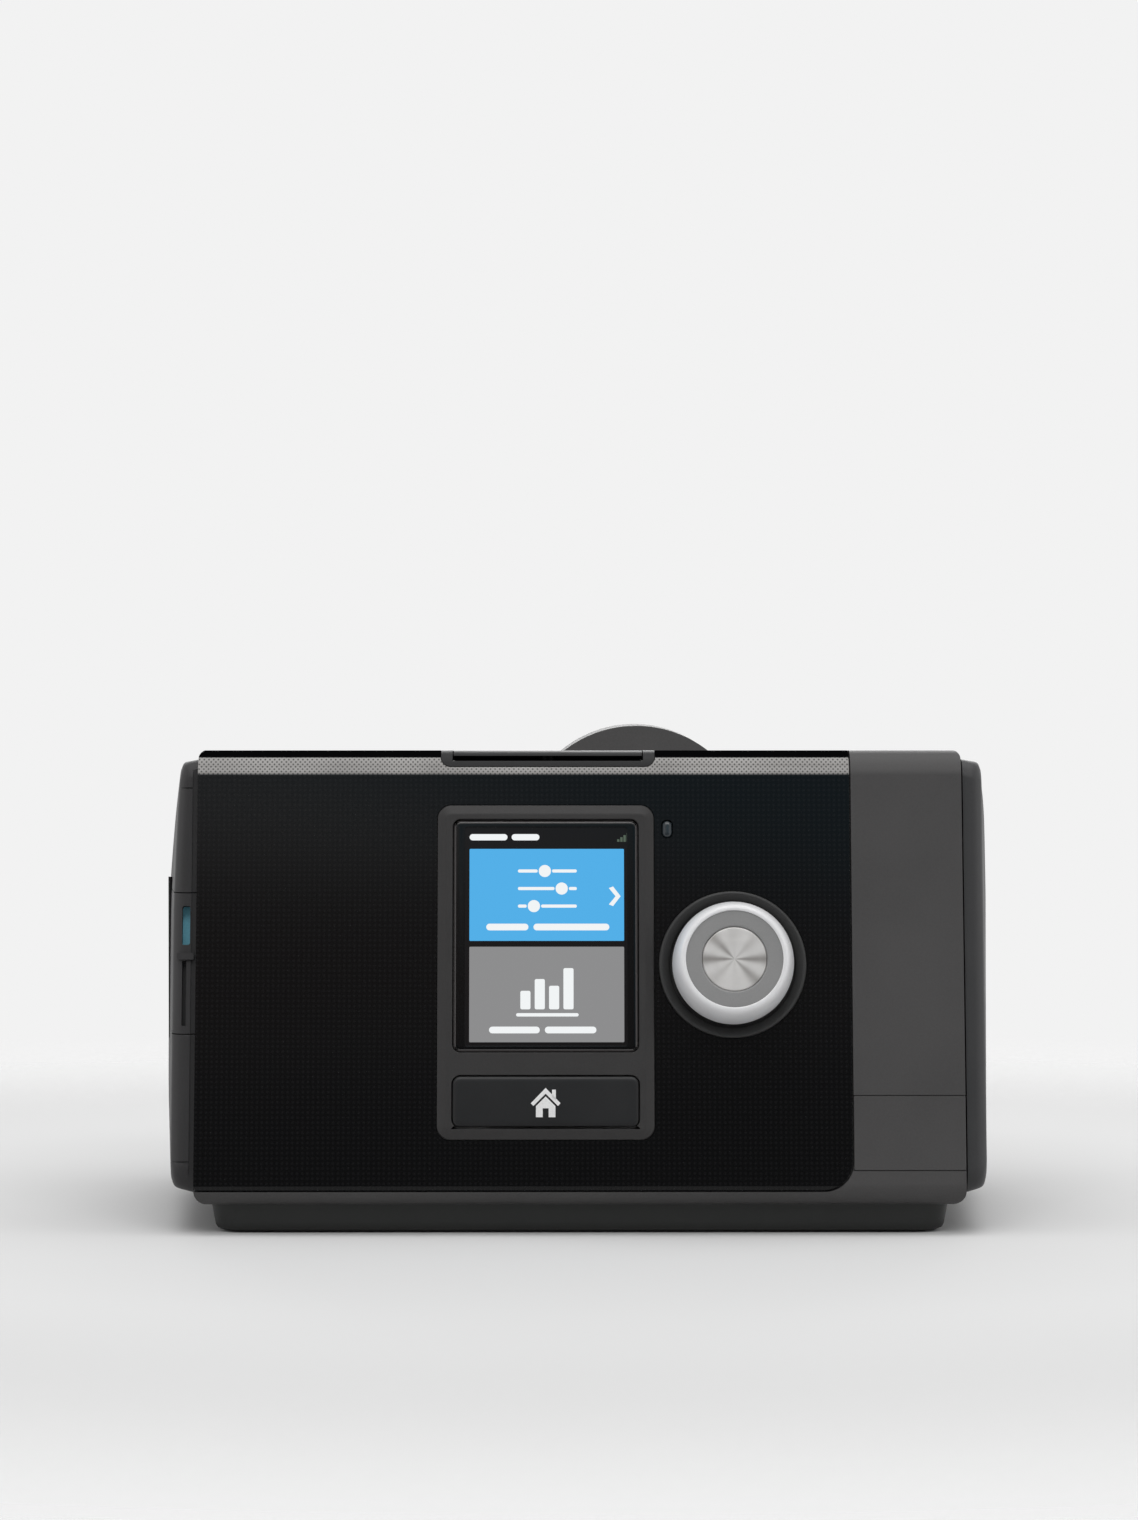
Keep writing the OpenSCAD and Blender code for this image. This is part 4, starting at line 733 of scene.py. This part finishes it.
# ------------------------------------------------------------------ buttons
piece(join(stepped_plate(HOME, 1.8, [(0, -1.1), (0, 0.22), (0.1, 0.45), (0.35, 0.62), (0.8, 0.69),
                                     (1.4, 0.7)], n=16),
           face_plate(circle(DISPLAY_X, HOME_STEM_S, STEM_R, 48), -6.6, -1.0)),
      "home_key", BUTTON, body="home_button", nodes=["home_button"])
HX, HS = DISPLAY_X, 24.6
house = [
    # roof, as two slopes with a gap under them, then walls with a doorway
    [(HX - 3.5, HS - 0.3), (HX - 2.9, HS - 0.95), (HX, HS + 1.95), (HX, HS + 3.3)],
    [(HX, HS + 3.3), (HX, HS + 1.95), (HX + 2.9, HS - 0.95), (HX + 3.5, HS - 0.3)],
    [(HX + 1.5, HS + 1.2), (HX + 2.4, HS + 0.3), (HX + 2.4, HS + 2.9), (HX + 1.5, HS + 2.9)],
    [(HX - 2.3, HS - 1.0), (HX - 2.3, HS - 3.6), (HX - 0.7, HS - 3.6), (HX - 0.7, HS - 1.5),
     (HX + 0.7, HS - 1.5), (HX + 0.7, HS - 3.6), (HX + 2.3, HS - 3.6), (HX + 2.3, HS - 1.0), (HX, HS + 1.3)],
]
marks(house, "house_mark", PRINT, rise=0.05, place=0.7, body="home_button")


def make_trim():
    body = common(along_x(side_outline(0), X_LEFT, X_RIGHT), trim_zone(0))
    half = START_W / 2 + PLAY
    return cut(body, box(TRIM_X - half, TRIM_X + half, TRIM_BACK - TRIM_D - 12, TRIM_BACK - 1.75,
                         TRIM_LOW, Z_TOP + 5),
               along_z(circle(TRIM_X, STEM_Y, STEM_R + PLAY, 48), 100, Z_TOP))


def make_start():
    body = common(along_x(side_outline(0.05), X_LEFT, X_RIGHT),
                  box(TRIM_X - START_W / 2, TRIM_X + START_W / 2, TRIM_BACK - TRIM_D - 12, TRIM_BACK - 2,
                      START_LOW, Z_TOP + 5))
    return join(body, along_z(circle(TRIM_X, STEM_Y, STEM_R, 48), STEM_END, START_LOW + 0.2))


piece(make_trim(), "start_surround", TRIM, nodes=["start_trim"], bevel=0.25, angle=50)
piece(make_start(), "start_key", START, body="start_button", nodes=["start_button"],
      bevel=0.4, segments=3, angle=50)

piece(stepped_plate(SENSOR_BOX, 1.2,
                    [(0, -2), (0, -0.7), (0.12, -0.4), (0.4, -0.16), (0.8, -0.05), (1.1, -0.02)]),
      "sensor", SENSOR, nodes=["light_window"])


# ------------------------------------------------------------------ dial
def arc(cx, cy, r, a0, a1, n):
    return [(cx + r * math.cos(math.radians(a0 + (a1 - a0) * i / n)),
             cy + r * math.sin(math.radians(a0 + (a1 - a0) * i / n))) for i in range(n + 1)]


KNOB_R, KNOB_H, KNOB_LOW, RIM_R, DISH = 14.35, 13.0, 1.3, 11.4, 11.7
KNOB_TAPER, FLANK_LOW = 2.4, 3.3
piece(revolve([(14.85, -2), (DIAL_RING_R, -2), (DIAL_RING_R, 0.35)] + arc(16.95, 0.35, 0.5, 20, 90, 6)
              + [(16.5, 0.83), (15.1, 0.0), (14.85, -0.25)], at_dial),
      "dial_surround", RING, nodes=["dial_ring"], sharp=50)
knob = ([(2.26, KNOB_LOW + 2), (6, KNOB_LOW + 2), (6, KNOB_LOW + 6), (KNOB_R - 1.5, KNOB_LOW + 6),
         (KNOB_R - 1.5, KNOB_LOW + 0.2), (KNOB_R - 1.3, KNOB_LOW), (KNOB_R - 0.3, KNOB_LOW),
         (KNOB_R, KNOB_LOW + 0.3)]
        + [(KNOB_R - KNOB_TAPER * (1 - math.cos(a)), FLANK_LOW + (KNOB_H - FLANK_LOW) * math.sin(a))
           for a in (math.radians(90 * i / 28) for i in range(29))]
        + arc(RIM_R + 0.3, KNOB_H - 0.3, 0.3, 90, 165, 5)
        + [(RIM_R + 0.02, DISH), (7.66, DISH), (7.66, DISH - 1), (2.26, DISH - 1)])
piece(revolve(knob, at_dial), "knob", KNOB, body="dial", nodes=["dial_knob"], sharp=50)
piece(revolve([(7.66, DISH), (RIM_R + 0.01, DISH), (RIM_R + 0.01, DISH + 0.86), (RIM_R - 0.12, DISH + 0.95),
               (8.1, DISH + 0.95), (7.8, DISH + 0.9), (7.66, DISH + 0.7)], at_dial),
      "knob_face", DIAL_GREY, body="dial", nodes=["dial_face"], sharp=50)
piece(revolve([(0.0, DISH - 1), (7.6, DISH - 1), (7.6, DISH + 0.45), (7.45, DISH + 0.62), (7.2, DISH + 0.68),
               (4, DISH + 0.6), (0.0, DISH + 0.52)], at_dial),
      "knob_disc", SPUN, body="dial", nodes=["dial_cap"], sharp=50)


# ------------------------------------------------------------------ end caps
def edge_drop(d, r):
    return r - math.sqrt(max(0, r * r - max(0, min(r, d)) ** 2))


CAP_TURN, CAP_CORNER, LOW_CORNER = 6.0, 1.5, 1.3    # depth of a cap's turn to the side, corners in front view
CAP_STEPS = 20                          # segments of each corner of a cap's rings
CAP_SEAM = 1.35                         # width of the step beside the fascia
PIN_R = 1.3                             # barrel of the card door round its hinge pin
LOW_LIFT = 1.5                          # how much a cap's lower edge rises outwards


def lean(z):
    """0 below, 1 at the top of a cap that leans inwards."""
    return max(0.0, min(1.0, (z - 76) / 34)) ** 1.3


def cap_out(side, z, d, reach):
    """How far out the point of a cap lies that has depth d in its plain outline."""
    turn, crown = (4.85, reach - 0.8 * lean(z)) if side > 0 else (5.9 - 1.3 * lean(z), reach - 2.6 * lean(z))
    if d <= CAP_TURN:
        return d * turn / CAP_TURN
    return turn + (d - CAP_TURN) * (crown - turn) / (reach - CAP_TURN)


def cap_edge_z(d, reach, fall, edge):
    inward, turn, roof = (-1 if edge > CAP_MID_Z else 1), reach - fall, 2.6
    corner, rise = (CAP_CORNER, 0.14) if inward < 0 else (LOW_CORNER, LOW_LIFT / CAP_TURN)
    out = max(0.0, min(1.0, (d - CAP_TURN) / max(0.1, turn - CAP_TURN)))
    start = edge + inward * (edge_drop(d - CAP_TURN + corner * 1.2, corner)
                             + rise * min(CAP_TURN, max(0.0, d)) + 1.2 * out)
    if d <= turn:
        return start + inward * edge_drop(d - turn + roof, roof)
    return CAP_MID_Z + (start + inward * roof - CAP_MID_Z) * math.sqrt(max(0.001, (reach - d) / fall))


def cap_outline(d, reach, inset, low, top, fall, side):
    z0, z1 = cap_edge_z(d, reach, fall[1], low), cap_edge_z(d, reach, fall[0], top)
    i = inset + edge_drop(d - CAP_TURN + 3.5, 3.5)
    t, round_off = (d - CAP_TURN) / (reach - CAP_TURN), (0.3 if side > 0 else 1.0)
    q = 1 if t <= 0 else math.sqrt(max(0.008, (1 - t) * (1 + round_off - t) / (1 + round_off)))
    front_low = CAP_MID_Y + q * (face_y(z0, i) - CAP_MID_Y)
    front_high = CAP_MID_Y + q * (face_y(z1, i) - CAP_MID_Y)
    back = CAP_MID_Y + q * (Y_BACK - i - CAP_MID_Y)
    back_z1 = z1 - TOP_SLOPE * (back - front_high)
    r = min(5 + 30 * (1 - q), (back_z1 - z0) / 2.3, (back - front_low) / 2.3)
    return rounded([(front_low, z0), (back, z0), (back, back_z1), (front_high, z1)], r, CAP_STEPS)


def pillow(reach, inset, low, top, fall, x_start, side, fine=True):
    """Rounded end that starts at x_start and reaches outwards to one side."""
    a, b = (10, 26) if fine else (5, 10)
    levels = [0, 2.5] + [2.5 + 3.5 * math.sin(math.radians(90 * (i + 1) / a)) for i in range(a)]
    levels += [CAP_TURN + (reach - CAP_TURN) * math.sin(math.radians(90 * (i + 1) / b)) for i in range(b)]
    outlines = [cap_outline(d, reach, inset, low, top, fall, side) for d in levels]
    stops = max(int(abs(o[(i + 1) % len(o)][1] - o[i][1]) / 6) for o in outlines for i in range(len(o)))
    rings = []
    for d, outline in zip(levels, outlines):
        ring = []
        for k, (u0, v0) in enumerate(outline):
            u1, v1 = outline[(k + 1) % len(outline)]
            upright = (k + 1) % (CAP_STEPS + 1) == 0 and (k // (CAP_STEPS + 1)) % 2
            n = stops if upright else 1
            ring += [(u0 + (u1 - u0) * i / n, v0 + (v1 - v0) * i / n) for i in range(n)]
        rings.append([(x_start + side * cap_out(side, z, d, reach), y, z) for y, z in ring])
    return loft(rings)


def cap_shell(side, fall, gap=0.0):
    start = side * (X_RIGHT + gap)
    outer = pillow(CAP_REACH - gap, CAP_STEP, CAP_LOW, CAP_TOP, fall, start, side)
    inner = pillow(CAP_REACH - WALL - gap, CAP_STEP + WALL, CAP_LOW + WALL, CAP_TOP - WALL, fall,
                   start - side * 0.1, side, False)
    return cut(outer, inner)


LEFT_FALL, RIGHT_FALL = (3, 0.5), (0.8, 0.2)


def left_room(inset):
    return pillow(CAP_REACH - inset, CAP_STEP + inset, CAP_LOW + inset, CAP_TOP - inset, LEFT_FALL,
                  X_LEFT, -1, False)


def door_zone(gap):
    x0, x1 = X_LEFT - CAP_REACH - 1, X_LEFT - 0.15 + gap
    z0, z1 = DOOR_Z[0] - gap, DOOR_Z[1] + gap
    return join(box(x0, x1, Y_FRONT - 5, DOOR_AXIS[1] + gap, z0, z1),
                along_z(circle(*DOOR_AXIS, PIN_R + gap, 48), z0 - 0.001, z1 + 0.001))


def service_zone(gap):
    return box(X_LEFT - CAP_REACH - 1, X_LEFT - 5, SERVICE_Y[0] - gap, SERVICE_Y[1] + gap,
               SERVICE_Z[0] - gap, SERVICE_Z[1] + gap)


def groove(z, w=0.4, deep=0.4):
    """Thin seam round the left cap at a height."""
    return cut(box(X_LEFT - CAP_REACH - 1, X_LEFT - CAP_SEAM, Y_FRONT - 3, Y_BACK + 3, z - w / 2, z + w / 2),
               left_room(deep))


def edge_step(s0, s1):
    """Room of the step along the left cap's edge beside the fascia."""
    x0, x1 = X_LEFT - CAP_SEAM, X_LEFT + 1
    return face_plate([(x0, s0), (x1, s0), (x1, s1), (x0, s1)], -CAP_STEP - 0.45, 2)


def make_left_cap():
    cap = cap_shell(-1, LEFT_FALL)
    knuckles = [along_z(circle(DOOR_AXIS[0] + 0.6, DOOR_AXIS[1], 1.8, 48), z0, z1)
                for z0, z1 in ((DOOR_Z[0] - 4, DOOR_Z[0] - 0.25), (DOOR_Z[1] + 0.25, DOOR_Z[1] + 4))]
    seat = box(X_LEFT - CAP_REACH, X_LEFT - 3.4, SERVICE_Y[0] - 3, SERVICE_Y[1] + 3,
               SERVICE_Z[0] - 3, SERVICE_Z[1] + 3)
    seat = cut(seat, box(X_LEFT - CAP_REACH - 1, X_LEFT - 2.4, SERVICE_Y[0] + 2, SERVICE_Y[1] - 2,
                         SERVICE_Z[0] + 2, SERVICE_Z[1] - 2))
    seat = common(seat, left_room(0.5))
    knuckles = [common(k, left_room(0.15)) for k in knuckles]
    cap = join(cap, seat, *knuckles)
    return cut(cap, edge_step(-9, 150), door_zone(0.25), service_zone(0.15), groove(104.9), groove(17.1),
               along_z(circle(*DOOR_AXIS, 0.6, 32), DOOR_Z[0] - 3, DOOR_Z[1] + 3))


def make_door():
    door = common(cap_shell(-1, LEFT_FALL),
                  box(X_LEFT - CAP_REACH - 1, X_LEFT - 0.15, Y_FRONT - 5, DOOR_AXIS[1], *DOOR_Z))
    lip = face_plate(rect(-95.6, 58.6, -91.6, 60.2, 0.3, 4), -2.8, -1.4)
    barrel = common(along_z(circle(*DOOR_AXIS, PIN_R, 48), *DOOR_Z), left_room(0.05))
    door = join(cut(door, edge_step(30, 90)), barrel, lip)
    card_room = face_plate([(-95.3, 49.2), (-62, 49.2), (-62, 74.0), (-95.3, 74.0)], -8.6, -5.7)
    card_window = face_plate(rect(X_LEFT - 3.5, 62.2, X_LEFT - 1.6, 71.5, 0.5, 6), -9, 1)
    slit = face_plate(rect(X_LEFT - 3.4, 42.9, X_LEFT - 2.4, 58.4, 0.2, 4), -CAP_STEP - 2.1, 1)
    return cut(door, along_z(circle(*DOOR_AXIS, 0.66, 32), 40, 90), card_window, slit, card_room)


def make_service_cover():
    skin = cap_shell(-1, LEFT_FALL)
    rim = box(X_LEFT - CAP_REACH, X_LEFT - 5, *SERVICE_Y, *SERVICE_Z)
    rim = cut(rim, box(X_LEFT - CAP_REACH - 1, X_LEFT - 4, SERVICE_Y[0] + 1.4, SERVICE_Y[1] - 1.4,
                       SERVICE_Z[0] + 1.4, SERVICE_Z[1] - 1.4))
    return common(join(skin, common(rim, left_room(1.2))), service_zone(0))


def make_right_cap():
    plate = pillow(CAP_REACH - 1, CAP_STEP + 1, CAP_LOW + 1, CAP_TOP - 1, RIGHT_FALL, X_RIGHT + 0.5, 1, False)
    plate = common(plate, box(X_RIGHT + 0.5, X_RIGHT + 2.3, Y_FRONT, Y_BACK, Z_LOW, Z_TOP))
    plate = cut(plate, box(X_RIGHT, X_RIGHT + 4, -13, 15, 42.6, 70.6))
    return join(cap_shell(1, RIGHT_FALL, 0.5), plate)


piece(make_left_cap(), "left_cap", CAP_SHADED, nodes=["left_end_cap"], bevel=0.15,
      angle=55)
piece(make_door(), "card_door", CAP_SHADED, body="sd_card_door",
      nodes=["sd_card_door"], bevel=0.12, angle=55)
piece(make_service_cover(), "port_cover", CAP_SHADED, body="service_cover",
      nodes=["service_cover"], bevel=0.2, angle=55)
piece(make_right_cap(), "tub_cap", CAP, body="humidifier_tub", nodes=["tub_end_cap"],
      bevel=0.15, angle=55)


# ------------------------------------------------------------------ back and base
def make_shroud():
    ring = along_y(circle(OUTLET_X, OUTLET_Z, SHROUD_R, 256), Y_BACK - 14, SHROUD_BACK)
    return cut(ring, along_x(side_outline(0), X_LEFT, X_RIGHT),
               along_y(circle(OUTLET_X, OUTLET_Z, SHROUD_R - 3.6, 192), Y_BACK + 2, SHROUD_BACK + 1),
               along_y(circle(OUTLET_X, OUTLET_Z, OUTLET_R + 0.06), Y_BACK - 1, SHROUD_BACK))


def make_connector():
    tube = join(along_y(circle(OUTLET_X, OUTLET_Z, OUTLET_R), BACK_IN, SHROUD_BACK - 2),
                along_y(circle(OUTLET_X, OUTLET_Z, OUTLET_R + 2.4), Y_BACK + 2, Y_BACK + 3.2))
    return cut(tube, along_y(circle(OUTLET_X, OUTLET_Z, OUTLET_BORE), BACK_IN - 1, SHROUD_BACK + 1))


def make_base():
    tray = loft([[(u, v, z) for u, v in rect(i - BASE_X, BASE_Y[0] + i, BASE_X - i, BASE_Y[1] - i, 6, 16)]
                 for i, z in [(3.4, 0.3), (2.2, 0.42), (1.35, 0.9), (0.95, 1.7), (0.75, 2.8), (0.1, 6.6),
                              (0, 7.0)]])
    room = box(WALL - BASE_X, BASE_X - WALL, BASE_Y[0] + WALL, BASE_Y[1] - WALL, 3.2, 8)
    room = cut(room, *[along_z(circle(x, y, 3.5, 48), 0, 9) for x, y in SCREWS])
    return cut(tray, room, *[along_z(circle(x, y, 1.4, 32), 0, 9) for x, y in SCREWS],
               *[along_z(circle(x, y, 2.9, 48), 0, 3) for x, y in SCREWS],
               *[along_z(circle(x, y, 7.15, 64), 0, 1.4) for x, y in FEET],
               box(-32, 32, -22, 14, 0, 1.2))


def make_filter_cover():
    (x0, x1), (z0, z1) = FILTER_X, FILTER_Z
    plate = join(box(x0, x1, Y_BACK - 2.1, Y_BACK, z0, z1),
                 along_z(circle(*FILTER_PIN, 1.6, 48), z0 + 4, z1 - 4))
    slots = [along_y(rect(-75, z0 + 7.7 + i * 7, -44, z0 + 10.3 + i * 7, 1.2, 8), Y_BACK - 4, Y_BACK + 1)
             for i in range(7)]
    ends = [box(x0 - 3, x0 + 1.85, Y_BACK - 4, Y_BACK + 1, z, z + 5) for z in (z0 - 1, z1 - 4)]
    return cut(plate, *ends, along_z(circle(*FILTER_PIN, 0.86, 32), z0, z1), *slots)


def make_inlet():
    body = box(*INLET_X, Y_BACK - INLET_DEPTH, Y_BACK, *INLET_Z)
    return cut(body, along_y(circle(*INLET_MID, INLET_R, 96), Y_BACK - 10, Y_BACK + 1))


def make_clip():
    y, z = CLIP_PIN
    (x0, x1), end = INLET_X, z + 15
    body = join(box(x0, x1, y - 0.9, y + 0.9, z, end), along_x(circle(y, z, 1.7, 64), x0, x1),
                box(x0, x1, y - 0.9, y + 2.6, end - 1.6, end))
    return cut(body, box(x0 + 3, x1 - 3, y - 3, y + 1.5, z + 3.5, end - 3),
               along_x(circle(y, z, 0.96, 48), x0 - 7, x1 + 7))


piece(make_shroud(), "hose_shroud", SHROUD_LIGHTENED, nodes=["outlet_shroud"], bevel=0.7,
      segments=4, angle=60)
piece(make_connector(), "hose_connector", SOCKET, body="outlet_connector",
      nodes=["outlet_connector"], bevel=0.3, angle=60)
piece(make_base(), "base", BASE, nodes=["base_tray"], bevel=0.2, angle=60)
for i, (x, y) in enumerate(FEET):
    foot = revolve([(0, 0), (6.2, 0), (6.7, 0.15), (7, 0.6), (7, 1.4), (0, 1.4)],
                   lambda u, v, h, x=x, y=y: (x + u, y + v, h), 96)
    piece(foot, f"foot_{i + 1}", RUBBER, nodes=["rubber_feet"], sharp=50)
piece(make_filter_cover(), "filter_door", CAP, body="filter_cover",
      nodes=["filter_cover"], bevel=0.3, angle=60)
piece(make_inlet(), "inlet", SOCKET, nodes=["power_inlet"], bevel=0.4, angle=60)
piece(make_clip(), "cord_clip", SOCKET, body="retention_clip",
      nodes=["retention_clip"], bevel=0.3, angle=60)

# ------------------------------------------------------------------ carried-over nodes
for material, names in (
    (STEEL, "pcb_screws dial_plunger filter_hinge_pin clip_pin heater_springs sd_socket"),
    (DARK_STEEL, "base_screws sd_door_pin"),
    (PLATE, "heater_plate tub_heat_plate"),
    (BOARD, "main_pcb start_switch_board"),
    (AIRPATH, "blower_volute blower_cover impeller air_duct intake_plenum outlet_duct"),
    (RUBBER, "blower_mounts"),
    (SEAL, "outlet_seal tub_seal"),
    (SOCKET, "service_socket filter_frame tub_dock dial_encoder home_switch lcd_panel blower_motor"),
    (SOCKET, "tub_latch"),
    (FILTER, "air_filter"),
    (CARD, "sd_card"),
    (TUB, "tub_body tub_lid"),
):
    for name in names.split():
        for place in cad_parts[name].material_slots:
            place.material = material


# ------------------------------------------------------------------ light and floor
AMBIENT = 0.42                          # light that the studio gives to matt surfaces


def make_world():
    """Pale studio all round; gloss that faces its front end sees dim, soft-edged panels there."""
    world = bpy.data.worlds.new("studio")
    scene.world = world
    g = Graph("studio", world)
    way = g.node("SeparateXYZ")
    g.put(way.inputs[0], g.node("TexCoord").outputs["Generated"])
    x, y, z = way.outputs
    path = g.node("LightPath")
    dim = g.math("MULTIPLY", g.span(y, -0.84, -0.93, 0.0, 1.0, True), g.span(z, 0.36, 0.46, 1.0, 0.0, True))
    slope = g.math("ADD", z, g.math("MULTIPLY", x, 0.22))
    tilt = g.math("ADD", z, g.math("MULTIPLY", x, -0.06))
    floor_tone = g.blend(g.span(tilt, 0.2665, 0.268, 0.0, 1.0, True), (0.42, 0.42, 0.42, 1),
                         (0.2, 0.15, 0.13, 1))
    floor_tone = g.blend(g.span(tilt, 0.261, 0.2625, 0.0, 1.0, True), (0.1, 0.1, 0.1, 1), floor_tone)
    grey = g.blend(g.span(z, 0.2975, 0.3015, 0.0, 1.0, True), floor_tone, (0.95, 0.95, 0.95, 1))
    panel = g.blend(g.span(slope, 0.3062, 0.3102, 0.0, 1.0, True), grey, (0.22, 0.4, 0.5, 1))
    pale = rgb(242)
    glossy = g.math("MULTIPLY", path.outputs["Is Glossy Ray"], dim)
    bright = g.node("Background")
    g.put(bright.inputs["Color"], g.blend(glossy, pale, panel))
    ambient = g.node("Background")
    ambient.inputs["Color"].default_value = (1, 1, 1, 1)
    ambient.inputs["Strength"].default_value = AMBIENT
    seen = g.math("MAXIMUM", path.outputs["Is Glossy Ray"], path.outputs["Is Transmission Ray"])
    mix = g.node("MixShader")
    g.put(mix.inputs[0], g.math("MAXIMUM", path.outputs["Is Camera Ray"], seen))
    g.put(mix.inputs[1], ambient.outputs[0])
    g.put(mix.inputs[2], bright.outputs[0])
    g.put(g.node("OutputWorld").inputs[0], mix.outputs[0])


make_world()


def softbox(name, place, aim, size, power):
    data = bpy.data.lights.new(name, "AREA")
    data.shape, data.size, data.size_y, data.energy = "RECTANGLE", size[0], size[1], power
    ob = bpy.data.objects.new(name, data)
    ob.location = place
    ob.rotation_mode = "QUATERNION"
    ob.rotation_quaternion = (Vector(aim) - Vector(place)).to_track_quat("-Z", "Y")
    scene.collection.objects.link(ob)


softbox("overhead", (0.05, -0.1, 1.25), (0, 0, 0.05), (1.3, 0.9), 7)
softbox("front", (0.1, -1.25, 1.25), (0, 0, 0.06), (1.4, 0.6), 8)
softbox("left_fill", (-1.3, -0.2, 0.5), (0, 0, 0.05), (0.8, 0.8), 2)
softbox("right_fill", (1.3, -0.2, 0.5), (0, 0, 0.05), (0.8, 0.8), 2.4)
softbox("back_fill", (0, 1.4, 0.7), (0, 0, 0.05), (1.4, 0.6), 8)

floor = loft([[(u, v, z) for u, v in circle(0, 0, 900, 128)] for z in (-2.0, -0.02)])
floor.name = "floor"
ground = Graph("floor_pale_painted_shadow")
away = ground.vector("MULTIPLY", ground.place, (1, 1, 0))
away = ground.vector("LENGTH", away, (0, 0, 0), 1)
# painted shadow: the floor colour darkens towards the object, round the middle
ground.set(Base_Color=ground.blend(ground.span(away, 0.12, 0.5, 0.0, 1.0, True), rgb(220), rgb(238)),
           Roughness=ground.span(ground.noise(8, 2.0), 0.3, 0.7, 0.85, 0.95), Specular_IOR_Level=0.0)
clear = ground.node("BsdfTransparent")
fade = ground.node("MixShader")
ground.put(fade.inputs[0], ground.span(away, 0.2, 0.55, 0.0, 1.0, True))
ground.put(fade.inputs[1], ground.shader.outputs[0])
ground.put(fade.inputs[2], clear.outputs[0])
ground.put([n for n in ground.tree.nodes if n.type == "OUTPUT_MATERIAL"][0].inputs[0], fade.outputs[0])
floor.data.materials.append(ground.material)
